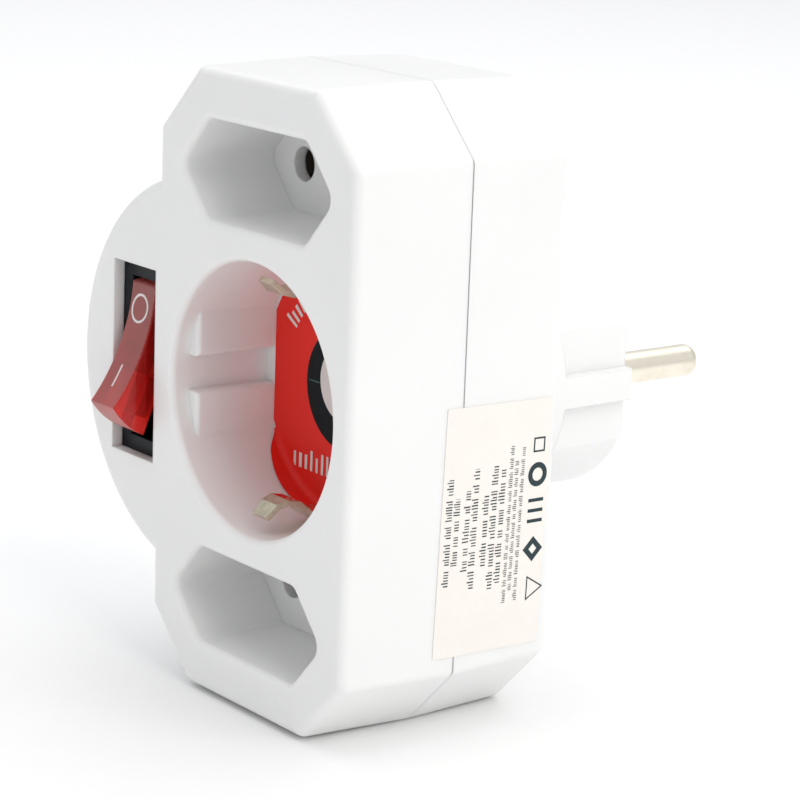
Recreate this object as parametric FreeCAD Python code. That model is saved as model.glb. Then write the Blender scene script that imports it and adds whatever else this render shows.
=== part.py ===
"""Switched plug adapter: one earthed round socket, two flat two-pin sockets and a lit rocker switch.

Frame: +Y points into the wall, the way the plug pins point, +Z is up, and +X is right seen from the
front. The origin is midway between the two plug pins on the face of the plug.
All lengths are millimetres and all angles are degrees.
"""

import FreeCAD, Part
import math
import os

V = FreeCAD.Vector

# Housing
BODY_DEPTH = 36.5            # front face to back face
COVER_DEPTH = 18.9           # front face to the parting line
SEAM_HALF_WIDTH = 24.3       # the body is widest and highest at the parting line
SEAM_HALF_HEIGHT = 45.5
FRONT_DRAFT_X = 0.6          # how far each side draws in from the parting line to the front
FRONT_DRAFT_Z = 0.5
BACK_DRAFT_X = 0.7           # and from the parting line to the back
BACK_DRAFT_Z = 0.3
CORNER_CUT = 9.56            # each 45 degree corner, along one side
BODY_ROUND = 1.5             # rounding of the long edges and of the front and back rims
EAR_CENTRE_X = -14.6         # the round bulge that carries the switch
EAR_SEAM_RADIUS = 29.4
EAR_DRAFT = 0.4
WALL = 1.8
TONGUE_HEIGHT = 1.5          # lip of the cover inside the rear housing
TONGUE_THICKNESS = 0.8
TONGUE_CLEARANCE = 0.1

# Round earthed socket
SOCKET_MOUTH_RADIUS = 19.5
SOCKET_FLOOR_RADIUS = 19.3
SOCKET_DEPTH = 16.7
SOCKET_WALL = 1.6
SOCKET_FLOOR = 2.0
MOUTH_ROUND = 1.0            # rims of all three sockets
PIN_SPACING = 19.0
SOCKET_HOLE_RADIUS = 2.65
GUIDE_FACE_X = 17.1          # flat face of each guide rib from the centre line
GUIDE_SLOT_HALF = 2.6
GUIDE_START = 3.0            # depth at which the ribs begin
GUIDE_ROUND = 0.7

# Flat two-pin sockets
FLAT_FROM_END = 14.6         # centre of each flat socket from the end of the body
FLAT_HALF_LENGTH = 18.1
FLAT_HALF_HEIGHT = 7.1
FLAT_EDGE_HALF = 11.7        # half length of the straight upper and lower edges
FLAT_FLOOR_INSET = 0.3
FLAT_CORNER_ROUND = 2.2
FLAT_DEPTH = 15.3
FLAT_WALL = 1.6
FLAT_FLOOR = 2.0
FLAT_PIN_SPACING = 18.8
FLAT_HOLE_RADIUS = 2.5
WEB_HALF_WIDTH = 6.0         # web that ties a flat socket to the round one

# Plug
PLUG_LENGTH = 19.0
PLUG_ROOT_RADIUS = 18.35
PLUG_FACE_RADIUS = 18.1
PLUG_ROOT_ROUND = 1.0
PLUG_FACE_ROUND = 0.7
PLUG_FACE_WALL = 3.0
PLUG_BORE_RADIUS = 14.2
GROOVE_FLOOR_X = 16.0        # flat floor of each side guide groove
GROOVE_RIB_HALF = 2.3        # rib left standing between two grooves
GROOVE_HALF_HEIGHT = 8.9
GROOVE_LENGTH = 13.0
PIN_RADIUS = 2.4
PIN_LENGTH = 19.0
PIN_TIP_ROUND = 1.4
PIN_SEAT_RADIUS = 2.6        # knurled part that is moulded into the face
PIN_FLANGE_RADIUS = 3.3
PIN_FLANGE_THICKNESS = 1.2
PIN_TAIL_RADIUS = 1.6
PIN_TAIL_LENGTH = 8.2
PIN_PILLAR_RADIUS = 4.6
PIN_PILLAR_HEIGHT = 2.4

# Earth parts
STRIP = 0.8                  # thickness of every stamped strip
EARTH_WIDTH = 4.6
EARTH_CLEARANCE = 0.1
CLIP_WALL_Z = 17.9           # outer face of the clip arm beside the socket wall
CLIP_CREST_Z = 14.5          # innermost point of the bowed arm
CLIP_TIP_Z = 17.2
CLIP_TIP_DEPTH = 3.0
CLIP_TIP_HALF_WIDTH = 1.5
CLIP_CREST_DEPTH = 6.0
CLIP_BEND_DEPTH = 10.5
CLIP_SHOULDER_BACK = 1.6     # point where the rise to the crest ends, behind it and outward of it
CLIP_SHOULDER_OUT = 1.1
CLIP_NOSE_AHEAD = 1.4        # and where the fall to the tip begins
CLIP_NOSE_OUT = 1.2
STRAP_FACE_Z = 17.3          # outer face of the side contacts of the plug
STRAP_CHANNEL_LENGTH = 14.0
STRAP_END_GAP = 0.8          # the contacts stop short of the plug face by this
LINK_FOOT = 7.0
RIVET_RADIUS = 1.3
RIVET_HEAD_RADIUS = 2.2
RIVET_HEAD_HEIGHT = 0.7

# Live and neutral parts
BUS_FACE_X = 12.55           # inner face of each busbar from the centre line
BUS_FRONT_DEPTH = 24.0
BUS_WIDTH = 6.0
BUS_OVERRUN = 6.1            # the busbars run past the centres of the flat sockets by this
LEAF = 0.6                   # thickness of the contact leaves
LEAF_GAP = 0.05              # open gap between a leaf and a seated pin
LEAF_HALF_WIDTH = 4.0
LEAF_FRONT_DEPTH = 21.0
LEAF_LENGTH = 10.0
LEAF_LIP = 1.2
LEAF_LIP_FLARE = 0.7
BUS_RIB_HALF = 0.8           # half thickness of the housing ribs that hold the busbars
BUS_RIB_INNER_Z = 15.5
BUS_RIB_OVERRUN = 5.3        # and the outermost ribs stand past them by this
BUS_RIB_SIDE = 1.3
BUS_SLOT_DEPTH = 2.0
BUS_SLOT_CLEARANCE = 0.05
TAB_HALF_WIDTH = 3.0
LINE_TAB_TOP = 7.6
LINE_TAB_NECK_HALF = 2.0     # the tab is narrower above the pin
LINE_TAB_MARGIN = 0.1        # from the top of the tab to the wire soldered on it

# Switch
SWITCH_X = -29.5
WINDOW_HALF_WIDTH = 5.6
WINDOW_HALF_HEIGHT = 14.3
FRAME_HALF_WIDTH = 6.1
FRAME_HALF_HEIGHT = 15.0
FRAME_GAP = 0.05
FRAME_DEPTH = 17.0
FRAME_FLOOR_DEPTH = 15.2
FRAME_OPENING_HALF_WIDTH = 3.35
FRAME_OPENING_HALF_HEIGHT = 12.0
COLLAR = 1.2                 # cover ribs around the switch
COLLAR_DEPTH = 9.0
COLLAR_CLEARANCE = 0.1
ROCKER_PIVOT_DEPTH = 4.6
ROCKER_TILT = 22.0           # each side of level
ROCKER_RADIUS = 11.6
ROCKER_HALF_SPAN = 53.0      # angle from the middle of the face to each tip
ROCKER_DISH = 1.45
ROCKER_SKIRT_ANGLE = 88.0
ROCKER_UNDERSIDE = 0.4
ROCKER_SIDE_GAP = 0.2
ROCKER_EDGE_ROUND = 0.35
TRUNNION_RADIUS = 1.2
TRUNNION_LENGTH = 1.5
RUNNING_CLEARANCE = 0.05
STEM_HALF_HEIGHT = 2.4
STEM_HALF_WIDTH = 2.2
STEM_REACH = 5.4
STEM_BORE_TOP = 0.8
PLUNGER_RADIUS = 1.25
PLUNGER_REACH = 8.5          # pivot to the plunger's tip
PLUNGER_BACK = 3.4
SPRING_WIRE_RADIUS = 0.15
SPRING_WIRE_SIDES = 6
SPRING_TURNS = 5
LAMP_RADIUS = 1.5
LAMP_NEAR = 3.2
LAMP_FAR = 9.2
LAMP_HEIGHT = 2.9
LAMP_END_ROUND = 0.9
LAMP_CLEARANCE = 0.05
ARM_APEX_DEPTH = 13.5
ARM_TILT = 8.0               # each side of level
ARM_RISE_ANGLE = 18.2
ARM_PAD_START = 7.2
ARM_HALF_LENGTH = 9.8
ARM_HALF_WIDTH = 2.6
ARM_THICKNESS = 0.6
CONTACT_RADIUS = 1.3
CONTACT_HEIGHT = 0.6
CONTACT_Z = 8.5
CONTACT_GAP = 0.1
STOP_START_Z = 7.5
STOP_END_Z = 9.5
STOP_DEPTH = 13.2
TERMINAL_HALF_WIDTH = 2.5
TERMINAL_END_DEPTH = 24.5
OUT_BLADE_Z = 10.6
LAMP_BLADE_Z = -10.6
LAMP_BLADE_TOP_DEPTH = 12.5

# Wires
WIRE_RADIUS = 1.2
WIRE_CORE_RADIUS = 0.7
THIN_WIRE_RADIUS = 0.8
THIN_CORE_RADIUS = 0.4
WIRE_STRIP = 1.6             # bare length at each end
WIRE_DEPTH = 32.8            # depth at which the wires cross the housing
WIRE_BEND = 2.2
LAMP_WIRE_DROP = 2.0         # how far the lamp wire sinks on its way across
LAMP_WIRE_LEVEL = 8.0        # length beside the line busbar where it runs level
RESISTOR_RADIUS = 1.1
RESISTOR_LENGTH = 4.5
RESISTOR_LEAD_RADIUS = 0.35
RESISTOR_LEAD = 0.8

# Screws
SCREW_X = 18.4
SCREW_Z = 20.5
BOSS_RADIUS = 2.9
TUBE_RADIUS = 3.6
SCREW_RADIUS = 1.45
SCREW_HEAD_RADIUS = 2.7
SCREW_HEAD_HEIGHT = 1.8
SCREW_ENTRY = 8.0            # thread length inside the cover boss
SCREW_CLEARANCE = 0.3
SCREW_FLOOR = 3.0            # tube floor under the screw head
SCREW_CROSS_RADIUS = 1.9     # reach of the cross in the screw head
SCREW_SLOT_WIDTH = 0.8
SCREW_SLOT_DEPTH = 0.9

# Print carriers
PAPER = 0.15
LABEL_FRONT_DEPTH = 15.7
LABEL_WIDTH = 19.1
LABEL_TOP_Z = 1.95
LABEL_HEIGHT = 35.5
LABEL_TILT = -1.6
STICKER_RADIUS = 18.9
STICKER_SIDE_GAP = 0.3
STICKER_HOLE_MARGIN = 0.35
STICKER_NOTCH_MARGIN = 0.5

# Sizes and places that follow from the ones above
FRONT_Y = -(PLUG_LENGTH + BODY_DEPTH)
SEAM_Y = FRONT_Y + COVER_DEPTH
BACK_Y = -PLUG_LENGTH
FRONT_HALF_WIDTH = SEAM_HALF_WIDTH - FRONT_DRAFT_X
FRONT_HALF_HEIGHT = SEAM_HALF_HEIGHT - FRONT_DRAFT_Z
BACK_HALF_WIDTH = SEAM_HALF_WIDTH - BACK_DRAFT_X
BACK_HALF_HEIGHT = SEAM_HALF_HEIGHT - BACK_DRAFT_Z
FRONT_SIZE = (FRONT_HALF_WIDTH, FRONT_HALF_HEIGHT, EAR_SEAM_RADIUS - EAR_DRAFT)
SEAM_SIZE = (SEAM_HALF_WIDTH, SEAM_HALF_HEIGHT, EAR_SEAM_RADIUS)
BACK_SIZE = (BACK_HALF_WIDTH, BACK_HALF_HEIGHT, EAR_SEAM_RADIUS - EAR_DRAFT)
FLAT_CENTRE_Z = SEAM_HALF_HEIGHT - FLAT_FROM_END
BUS_HALF_LENGTH = FLAT_CENTRE_Z + BUS_OVERRUN
BUS_RIB_OUTER_Z = FLAT_CENTRE_Z + BUS_RIB_OVERRUN
PIN_X = PIN_SPACING / 2
FLAT_PIN_X = FLAT_PIN_SPACING / 2
SIDES = (-1, 1)
OVERCUT = 1.0                # how far a cutting tool runs past the face that it opens
EDGE_MARGIN = 0.01           # margin by which an edge may miss the range it is picked by


def at_depth(depth):
    """Y of a plane that lies this deep behind the front face."""
    return FRONT_Y + depth


def box(x0, x1, y0, y1, z0, z1):
    """Box between two corners given in any order."""
    low = V(min(x0, x1), min(y0, y1), min(z0, z1))
    return Part.makeBox(abs(x1 - x0), abs(y1 - y0), abs(z1 - z0), low)


def rod_y(x, z, radius, y0, y1):
    """Round bar along Y."""
    return Part.makeCylinder(radius, y1 - y0, V(x, y0, z), V(0, 1, 0))


def taper_y(x, z, radius0, radius1, y0, y1):
    """Round bar along Y whose radius changes from one end to the other."""
    if radius0 == radius1:
        return rod_y(x, z, radius0, y0, y1)
    return Part.makeCone(radius0, radius1, y1 - y0, V(x, y0, z), V(0, 1, 0))


def fuse(first, *others):
    """One clean solid from pieces that touch or overlap."""
    return first.fuse(list(others)).removeSplitter()


def write(name, shape):
    """Save one sub-part as a STEP file."""
    shape.exportStep("parts/" + name + ".step")


def polygon_wire(points, rounds, y):
    """Closed outline in a plane of constant Y, with a true arc at each rounded corner."""
    edges = []
    arcs = []
    count = len(points)
    for index, (corner, radius) in enumerate(zip(points, rounds)):
        before = points[index - 1]
        after = points[(index + 1) % count]
        here = V(corner[0], y, corner[1])
        back = (V(before[0], y, before[1]) - here).normalize()
        ahead = (V(after[0], y, after[1]) - here).normalize()
        if radius == 0:
            arcs.append((here, None, here))
            continue
        half = back.getAngle(ahead) / 2
        reach = radius / math.tan(half)
        middle = here + (back + ahead).normalize() * (radius / math.sin(half) - radius)
        arcs.append((here + back * reach, middle, here + ahead * reach))
    for index, (start, middle, end) in enumerate(arcs):
        if middle is not None:
            edges.append(Part.Arc(start, middle, end).toShape())
        following = arcs[(index + 1) % count][0]
        edges.append(Part.LineSegment(end, following).toShape())
    return Part.Wire(edges)


def octagon_points(half_width, half_height, y, inset):
    """Corners of an upright rectangle whose own corners are cut at 45 degrees, moved in by the inset."""
    width = half_width - inset
    height = half_height - inset
    cut = CORNER_CUT - inset * (2 - math.sqrt(2))
    return [V(-width, y, -height + cut), V(-width + cut, y, -height), V(width - cut, y, -height),
            V(width, y, -height + cut), V(width, y, height - cut), V(width - cut, y, height),
            V(-width + cut, y, height), V(-width, y, height - cut)]


def drafted_block(start, end, y0, y1, inset):
    """Eight-sided block with flat drafted sides between two planes."""
    front = octagon_points(start[0], start[1], y0, inset)
    back = octagon_points(end[0], end[1], y1, inset)
    loops = [front, back]
    for index in range(len(front)):
        loops.append([front[index - 1], front[index], back[index], back[index - 1]])
    faces = [Part.Face(Part.makePolygon(loop + [loop[0]])) for loop in loops]
    return Part.makeSolid(Part.makeShell(faces))


def housing_parts(start, end, y0, y1, inset=0.0):
    """Drafted main block and drafted round ear between two planes of the housing."""
    ear = taper_y(EAR_CENTRE_X, 0, start[2] - inset, end[2] - inset, y0, y1)
    return [drafted_block(start, end, y0, y1, inset), ear]


def rounded_housing(start, end, y0, y1, seam_y):
    """Outer form of one half of the housing, with every edge rounded but those at the parting line."""
    block, ear = housing_parts(start, end, y0, y1)
    seam_edges = edges_on_plane(block, seam_y)
    edges = [edge for edge in block.Edges if not any(edge.isSame(other) for other in seam_edges)]
    rim_y = y0 + y1 - seam_y
    return fuse(block.makeFillet(BODY_ROUND, edges), ear.makeFillet(BODY_ROUND, edges_on_plane(ear, rim_y)))


def seam_prism(inset, y0, y1):
    """Prism of the parting outline, moved in by the inset."""
    return fuse(*housing_parts(SEAM_SIZE, SEAM_SIZE, y0, y1, inset))


def edges_on_plane(shape, y, tolerance=0.001):
    """Edges of a shape that lie wholly in a plane of constant Y."""
    found = []
    for edge in shape.Edges:
        bounds = edge.BoundBox
        if abs(bounds.YMin - y) < tolerance and abs(bounds.YMax - y) < tolerance:
            found.append(edge)
    return found


def flat_socket_wire(centre_z, inset, y):
    """Six-sided outline of a flat socket, moved in by the inset."""
    slope = math.atan2(FLAT_HALF_HEIGHT, FLAT_HALF_LENGTH - FLAT_EDGE_HALF)
    height = FLAT_HALF_HEIGHT - inset
    length = FLAT_HALF_LENGTH - inset / math.sin(slope)
    edge = length - height / math.tan(slope)
    points = [(length, centre_z), (edge, centre_z + height), (-edge, centre_z + height),
              (-length, centre_z), (-edge, centre_z - height), (edge, centre_z - height)]
    return polygon_wire(points, [FLAT_CORNER_ROUND] * len(points), y)


def flat_socket_solid(centre_z, mouth_inset, floor_inset, y0, y1):
    """Tapered six-sided solid between two depths."""
    wires = [flat_socket_wire(centre_z, mouth_inset, y0), flat_socket_wire(centre_z, floor_inset, y1)]
    return Part.makeLoft(wires, True, True)


def guide_ribs():
    """Four guide ribs in the round socket, a pair with a slot between them on each side."""
    floor_y = at_depth(SOCKET_DEPTH)
    start_y = at_depth(GUIDE_START)
    reach = SOCKET_MOUTH_RADIUS + SOCKET_WALL / 2
    column = rod_y(0, 0, reach, start_y, floor_y)
    ribs = []
    for side in SIDES:
        for half in SIDES:
            inner = side * GUIDE_FACE_X
            piece = box(inner, side * reach, start_y, floor_y, half * GUIDE_SLOT_HALF, half * reach)
            rounded = []
            for edge in piece.Edges:
                bounds = edge.BoundBox
                on_face = abs(bounds.XMin - inner) < EDGE_MARGIN and abs(bounds.XMax - inner) < EDGE_MARGIN
                at_front = bounds.YMax < start_y + EDGE_MARGIN
                beside_slot = (bounds.YLength > GUIDE_START
                               and abs(bounds.ZMin - half * GUIDE_SLOT_HALF) < EDGE_MARGIN)
                if on_face and (at_front or beside_slot):
                    rounded.append(edge)
            ribs.append(piece.makeFillet(GUIDE_ROUND, rounded).common(column))
    return ribs


def front_cover():
    """Front shell with its three sockets, the switch window, the collar and the screw bosses."""
    shell = rounded_housing(FRONT_SIZE, SEAM_SIZE, FRONT_Y, SEAM_Y, SEAM_Y)
    shell = shell.cut(housing_parts(FRONT_SIZE, SEAM_SIZE, at_depth(WALL), SEAM_Y, WALL))
    tongue = seam_prism(WALL - TONGUE_THICKNESS, SEAM_Y, SEAM_Y + TONGUE_HEIGHT)
    tongue = tongue.cut(seam_prism(WALL, SEAM_Y, SEAM_Y + TONGUE_HEIGHT))

    cup_back = at_depth(SOCKET_DEPTH + SOCKET_FLOOR)
    inside = at_depth(WALL / 2)
    additions = [tongue, rod_y(0, 0, SOCKET_MOUTH_RADIUS + SOCKET_WALL, inside, cup_back)]
    for side in SIDES:
        flat_back = at_depth(FLAT_DEPTH + FLAT_FLOOR)
        additions.append(flat_socket_solid(side * FLAT_CENTRE_Z, -FLAT_WALL, -FLAT_WALL, inside, flat_back))
        near = side * (SOCKET_MOUTH_RADIUS + SOCKET_WALL / 2)
        far = side * (FLAT_CENTRE_Z - FLAT_HALF_HEIGHT - FLAT_WALL / 2)
        additions.append(box(-WEB_HALF_WIDTH, WEB_HALF_WIDTH, inside, flat_back, near, far))
        for across in SIDES:
            additions.append(rod_y(across * SCREW_X, side * SCREW_Z, BOSS_RADIUS, inside, SEAM_Y))
    collar_x = FRAME_HALF_WIDTH + COLLAR_CLEARANCE
    collar_z = FRAME_HALF_HEIGHT + COLLAR_CLEARANCE
    collar_back = at_depth(COLLAR_DEPTH)
    collar = box(SWITCH_X - collar_x - COLLAR, SWITCH_X + collar_x + COLLAR, inside, collar_back,
                 -collar_z - COLLAR, collar_z + COLLAR)
    additions.append(collar)
    solid = fuse(shell, *additions)

    cuts = [box(SWITCH_X - collar_x, SWITCH_X + collar_x, at_depth(WALL), collar_back + OVERCUT,
                -collar_z, collar_z)]
    cuts.append(box(SWITCH_X - WINDOW_HALF_WIDTH, SWITCH_X + WINDOW_HALF_WIDTH,
                    at_depth(-OVERCUT), at_depth(WALL + OVERCUT),
                    -WINDOW_HALF_HEIGHT, WINDOW_HALF_HEIGHT))
    floor_y = at_depth(SOCKET_DEPTH)
    recess = taper_y(0, 0, SOCKET_MOUTH_RADIUS, SOCKET_FLOOR_RADIUS, FRONT_Y, floor_y)
    for rib in guide_ribs():
        recess = recess.cut(rib)
    cuts.append(recess)
    flat_floor_y = at_depth(FLAT_DEPTH)
    slot_x = EARTH_WIDTH / 2 + EARTH_CLEARANCE
    for side in SIDES:
        flat_z = side * FLAT_CENTRE_Z
        cuts.append(flat_socket_solid(flat_z, 0, FLAT_FLOOR_INSET, FRONT_Y, flat_floor_y))
        cuts.append(box(-slot_x, slot_x, floor_y - OVERCUT, cup_back + OVERCUT,
                        side * (CLIP_WALL_Z + EARTH_CLEARANCE),
                        side * (CLIP_WALL_Z - STRIP - EARTH_CLEARANCE)))
        for across in SIDES:
            cuts.append(rod_y(across * SCREW_X, side * SCREW_Z, SCREW_RADIUS,
                              SEAM_Y - SCREW_ENTRY, SEAM_Y + OVERCUT))
            cuts.append(rod_y(across * FLAT_PIN_X, flat_z, FLAT_HOLE_RADIUS,
                              flat_floor_y - OVERCUT, flat_floor_y + FLAT_FLOOR + OVERCUT))
    for across in SIDES:
        cuts.append(rod_y(across * PIN_X, 0, SOCKET_HOLE_RADIUS, floor_y - OVERCUT, cup_back + OVERCUT))
    solid = solid.cut(cuts)
    rims = [edge for edge in edges_on_plane(solid, FRONT_Y) if on_socket_rim(edge)]
    return solid.makeFillet(MOUTH_ROUND, rims)


def on_socket_rim(edge):
    """Whether an edge of the front face belongs to the rim of one of the three sockets."""
    bounds = edge.BoundBox
    reach_x = max(abs(bounds.XMin), abs(bounds.XMax))
    near_z = min(abs(bounds.ZMin), abs(bounds.ZMax))
    far_z = max(abs(bounds.ZMin), abs(bounds.ZMax))
    on_round = max(reach_x, far_z) < SOCKET_MOUTH_RADIUS + EDGE_MARGIN
    on_flat = (reach_x < FLAT_HALF_LENGTH + EDGE_MARGIN
               and near_z > FLAT_CENTRE_Z - FLAT_HALF_HEIGHT - EDGE_MARGIN
               and far_z < FLAT_CENTRE_Z + FLAT_HALF_HEIGHT + EDGE_MARGIN)
    return on_round or on_flat


def rear_housing():
    """Rear shell, moulded in one with the body of the plug."""
    shell = rounded_housing(SEAM_SIZE, BACK_SIZE, SEAM_Y, BACK_Y, SEAM_Y)
    cavity = housing_parts(SEAM_SIZE, BACK_SIZE, SEAM_Y, BACK_Y - WALL, WALL)
    nose = taper_y(0, 0, PLUG_ROOT_RADIUS, PLUG_FACE_RADIUS, BACK_Y - WALL / 2, 0)
    nose = nose.makeFillet(PLUG_FACE_ROUND, edges_on_plane(nose, 0))
    shell = fuse(shell, nose)
    limit = PLUG_ROOT_RADIUS + EDGE_MARGIN
    root = [edge for edge in edges_on_plane(shell, BACK_Y)
            if abs(edge.BoundBox.ZMax) < limit and edge.BoundBox.XMin > -limit]
    shell = shell.makeFillet(PLUG_ROOT_ROUND, root)
    shell = shell.cut(cavity)

    face_inner = -PLUG_FACE_WALL
    bore_start = BACK_Y - WALL - OVERCUT
    shell = shell.cut(rod_y(0, 0, PLUG_BORE_RADIUS, bore_start, face_inner))
    additions = []
    for side in SIDES:
        pillar = rod_y(side * PIN_X, 0, PIN_PILLAR_RADIUS, face_inner - PIN_PILLAR_HEIGHT, face_inner)
        additions.append(pillar.common(rod_y(0, 0, PLUG_BORE_RADIUS, bore_start, face_inner)))
        for across in SIDES:
            additions.append(rod_y(across * SCREW_X, side * SCREW_Z, TUBE_RADIUS, SEAM_Y, BACK_Y - WALL))
    additions.extend(busbar_ribs())
    shell = fuse(shell, *additions)

    groove_y = SEAM_Y + TONGUE_HEIGHT + TONGUE_CLEARANCE
    groove = seam_prism(WALL - TONGUE_THICKNESS - TONGUE_CLEARANCE, SEAM_Y, groove_y)
    cuts = [groove.cut(seam_prism(WALL + TONGUE_CLEARANCE, SEAM_Y, groove_y))]
    for side in SIDES:
        cuts.append(rod_y(side * PIN_X, 0, PIN_SEAT_RADIUS, face_inner - OVERCUT, OVERCUT))
        cuts.append(rod_y(side * PIN_X, 0, PIN_FLANGE_RADIUS,
                          face_inner - PIN_PILLAR_HEIGHT - OVERCUT, face_inner))
        for half in SIDES:
            cuts.append(box(side * GROOVE_FLOOR_X, side * (PLUG_ROOT_RADIUS + OVERCUT),
                            -GROOVE_LENGTH, OVERCUT,
                            half * GROOVE_RIB_HALF, half * GROOVE_HALF_HEIGHT))
            cuts.append(rod_y(side * SCREW_X, half * SCREW_Z, SCREW_RADIUS + SCREW_CLEARANCE,
                              SEAM_Y - OVERCUT, BACK_Y + OVERCUT))
            cuts.append(rod_y(side * SCREW_X, half * SCREW_Z, SCREW_HEAD_RADIUS + SCREW_CLEARANCE,
                              SEAM_Y + SCREW_FLOOR, BACK_Y + OVERCUT))
        channel_x = EARTH_WIDTH / 2 + EARTH_CLEARANCE
        floor_z = STRAP_FACE_Z - STRIP
        cuts.append(box(-channel_x, channel_x, -STRAP_CHANNEL_LENGTH, OVERCUT,
                        side * floor_z, side * (PLUG_ROOT_RADIUS + OVERCUT)))
        cuts.append(box(-channel_x, channel_x, BACK_Y - WALL - OVERCUT, -STRAP_CHANNEL_LENGTH + OVERCUT,
                        side * floor_z, side * (STRAP_FACE_Z + EARTH_CLEARANCE)))
    return shell.cut(cuts)


def busbar_ribs():
    """Slotted ribs on the back wall that hold both busbars by their rear edge."""
    ribs = []
    inner_face = BACK_Y - WALL
    seat = at_depth(BUS_FRONT_DEPTH + BUS_WIDTH)
    for side in SIDES:
        for level in (-BUS_RIB_OUTER_Z, -BUS_RIB_INNER_Z, BUS_RIB_INNER_Z, BUS_RIB_OUTER_Z):
            rib = box(side * (BUS_FACE_X - BUS_RIB_SIDE), side * (BUS_FACE_X + STRIP + BUS_RIB_SIDE),
                      seat - BUS_SLOT_DEPTH, inner_face, level - BUS_RIB_HALF, level + BUS_RIB_HALF)
            slot = box(side * (BUS_FACE_X - BUS_SLOT_CLEARANCE),
                       side * (BUS_FACE_X + STRIP + BUS_SLOT_CLEARANCE),
                       seat - BUS_SLOT_DEPTH - OVERCUT, seat, level - BUS_RIB_HALF, level + BUS_RIB_HALF)
            ribs.append(rib.cut(slot))
    return ribs


def plug_pin(side):
    """Turned plug pin: domed tip, moulded-in seat, flange and riveted tail."""
    seat_y = -PLUG_FACE_WALL
    tail_y = seat_y - PIN_FLANGE_THICKNESS - PIN_TAIL_LENGTH
    x = side * PIN_X
    shank = rod_y(x, 0, PIN_RADIUS, 0, PIN_LENGTH)
    shank = shank.makeFillet(PIN_TIP_ROUND, edges_on_plane(shank, PIN_LENGTH))
    seat = rod_y(x, 0, PIN_SEAT_RADIUS, seat_y, 0)
    flange = rod_y(x, 0, PIN_FLANGE_RADIUS, seat_y - PIN_FLANGE_THICKNESS, seat_y)
    tail = rod_y(x, 0, PIN_TAIL_RADIUS, tail_y, seat_y - PIN_FLANGE_THICKNESS)
    return fuse(shank, seat, flange, tail)


def pin_tab_depth():
    """Depth of the front face of the tabs that are riveted on the pin tails."""
    return -PLUG_FACE_WALL - PIN_FLANGE_THICKNESS - PIN_TAIL_LENGTH - FRONT_Y + RIVET_HEAD_HEIGHT


def strip_band(points, width, thickness_side):
    """Bent strip of constant thickness from a line of points in the YZ plane, centred on X."""
    outline = []
    for index, (y, z) in enumerate(points):
        directions = []
        if index > 0:
            directions.append(V(0, y - points[index - 1][0], z - points[index - 1][1]).normalize())
        if index + 1 < len(points):
            directions.append(V(0, points[index + 1][0] - y, points[index + 1][1] - z).normalize())
        along = directions[0] + directions[-1]
        along.normalize()
        across = V(0, -along.z, along.y) * thickness_side
        reach = STRIP / across.dot(V(0, -directions[0].z, directions[0].y) * thickness_side)
        outline.append((V(-width / 2, y, z), V(-width / 2, y, z) + across * reach))
    loop = [pair[0] for pair in outline] + [pair[1] for pair in reversed(outline)]
    wire = Part.makePolygon(loop + [loop[0]])
    return Part.Face(wire).extrude(V(width, 0, 0))


def clip_plan():
    """Upright block with the plan of the clip arms, which narrow from the crest to the tip."""
    half = EARTH_WIDTH / 2
    crest_y = at_depth(CLIP_CREST_DEPTH)
    tip_y = at_depth(CLIP_TIP_DEPTH) - STRIP
    back_y = at_depth(SOCKET_DEPTH + SOCKET_FLOOR) + STRIP
    corners = [(-half, back_y), (half, back_y), (half, crest_y), (CLIP_TIP_HALF_WIDTH, tip_y),
               (-CLIP_TIP_HALF_WIDTH, tip_y), (-half, crest_y)]
    points = [V(x, y, -SOCKET_MOUTH_RADIUS) for x, y in corners]
    return Part.Face(Part.makePolygon(points + [points[0]])).extrude(V(0, 0, 2 * SOCKET_MOUTH_RADIUS))


def socket_earth_bracket():
    """Earth bracket of the round socket: a base strip with a bowed clip arm at the top and bottom."""
    base_y = at_depth(SOCKET_DEPTH + SOCKET_FLOOR)
    crest_y = at_depth(CLIP_CREST_DEPTH)
    half = EARTH_WIDTH / 2
    pieces = [box(-half, half, base_y, base_y + STRIP, -CLIP_WALL_Z, CLIP_WALL_Z)]
    for side in SIDES:
        points = [(base_y + STRIP, side * CLIP_WALL_Z),
                  (at_depth(CLIP_BEND_DEPTH), side * CLIP_WALL_Z),
                  (crest_y + CLIP_SHOULDER_BACK, side * (CLIP_CREST_Z + CLIP_SHOULDER_OUT)),
                  (crest_y, side * (CLIP_CREST_Z + STRIP)),
                  (crest_y - CLIP_NOSE_AHEAD, side * (CLIP_CREST_Z + CLIP_NOSE_OUT)),
                  (at_depth(CLIP_TIP_DEPTH), side * CLIP_TIP_Z)]
        pieces.append(strip_band(points, EARTH_WIDTH, side).common(clip_plan()))
    hole = rod_y(0, LINK_FOOT / 2 + STRIP, RIVET_RADIUS, base_y - OVERCUT, base_y + STRIP + OVERCUT)
    return fuse(*pieces).cut(hole)


def plug_earth_strap():
    """Earth strap of the plug: a bridge inside the housing and a side contact at the top and bottom."""
    back_inner = BACK_Y - WALL
    half = EARTH_WIDTH / 2
    pieces = [box(-half, half, back_inner - STRIP, back_inner, -STRAP_FACE_Z, STRAP_FACE_Z)]
    for side in SIDES:
        pieces.append(box(-half, half, back_inner - STRIP, -STRAP_END_GAP,
                          side * (STRAP_FACE_Z - STRIP), side * STRAP_FACE_Z))
    solid = fuse(*pieces)
    return solid.cut(rod_y(0, -LINK_FOOT / 2 + STRIP / 2, RIVET_RADIUS, back_inner - STRIP - OVERCUT,
                           back_inner + OVERCUT))


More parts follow.
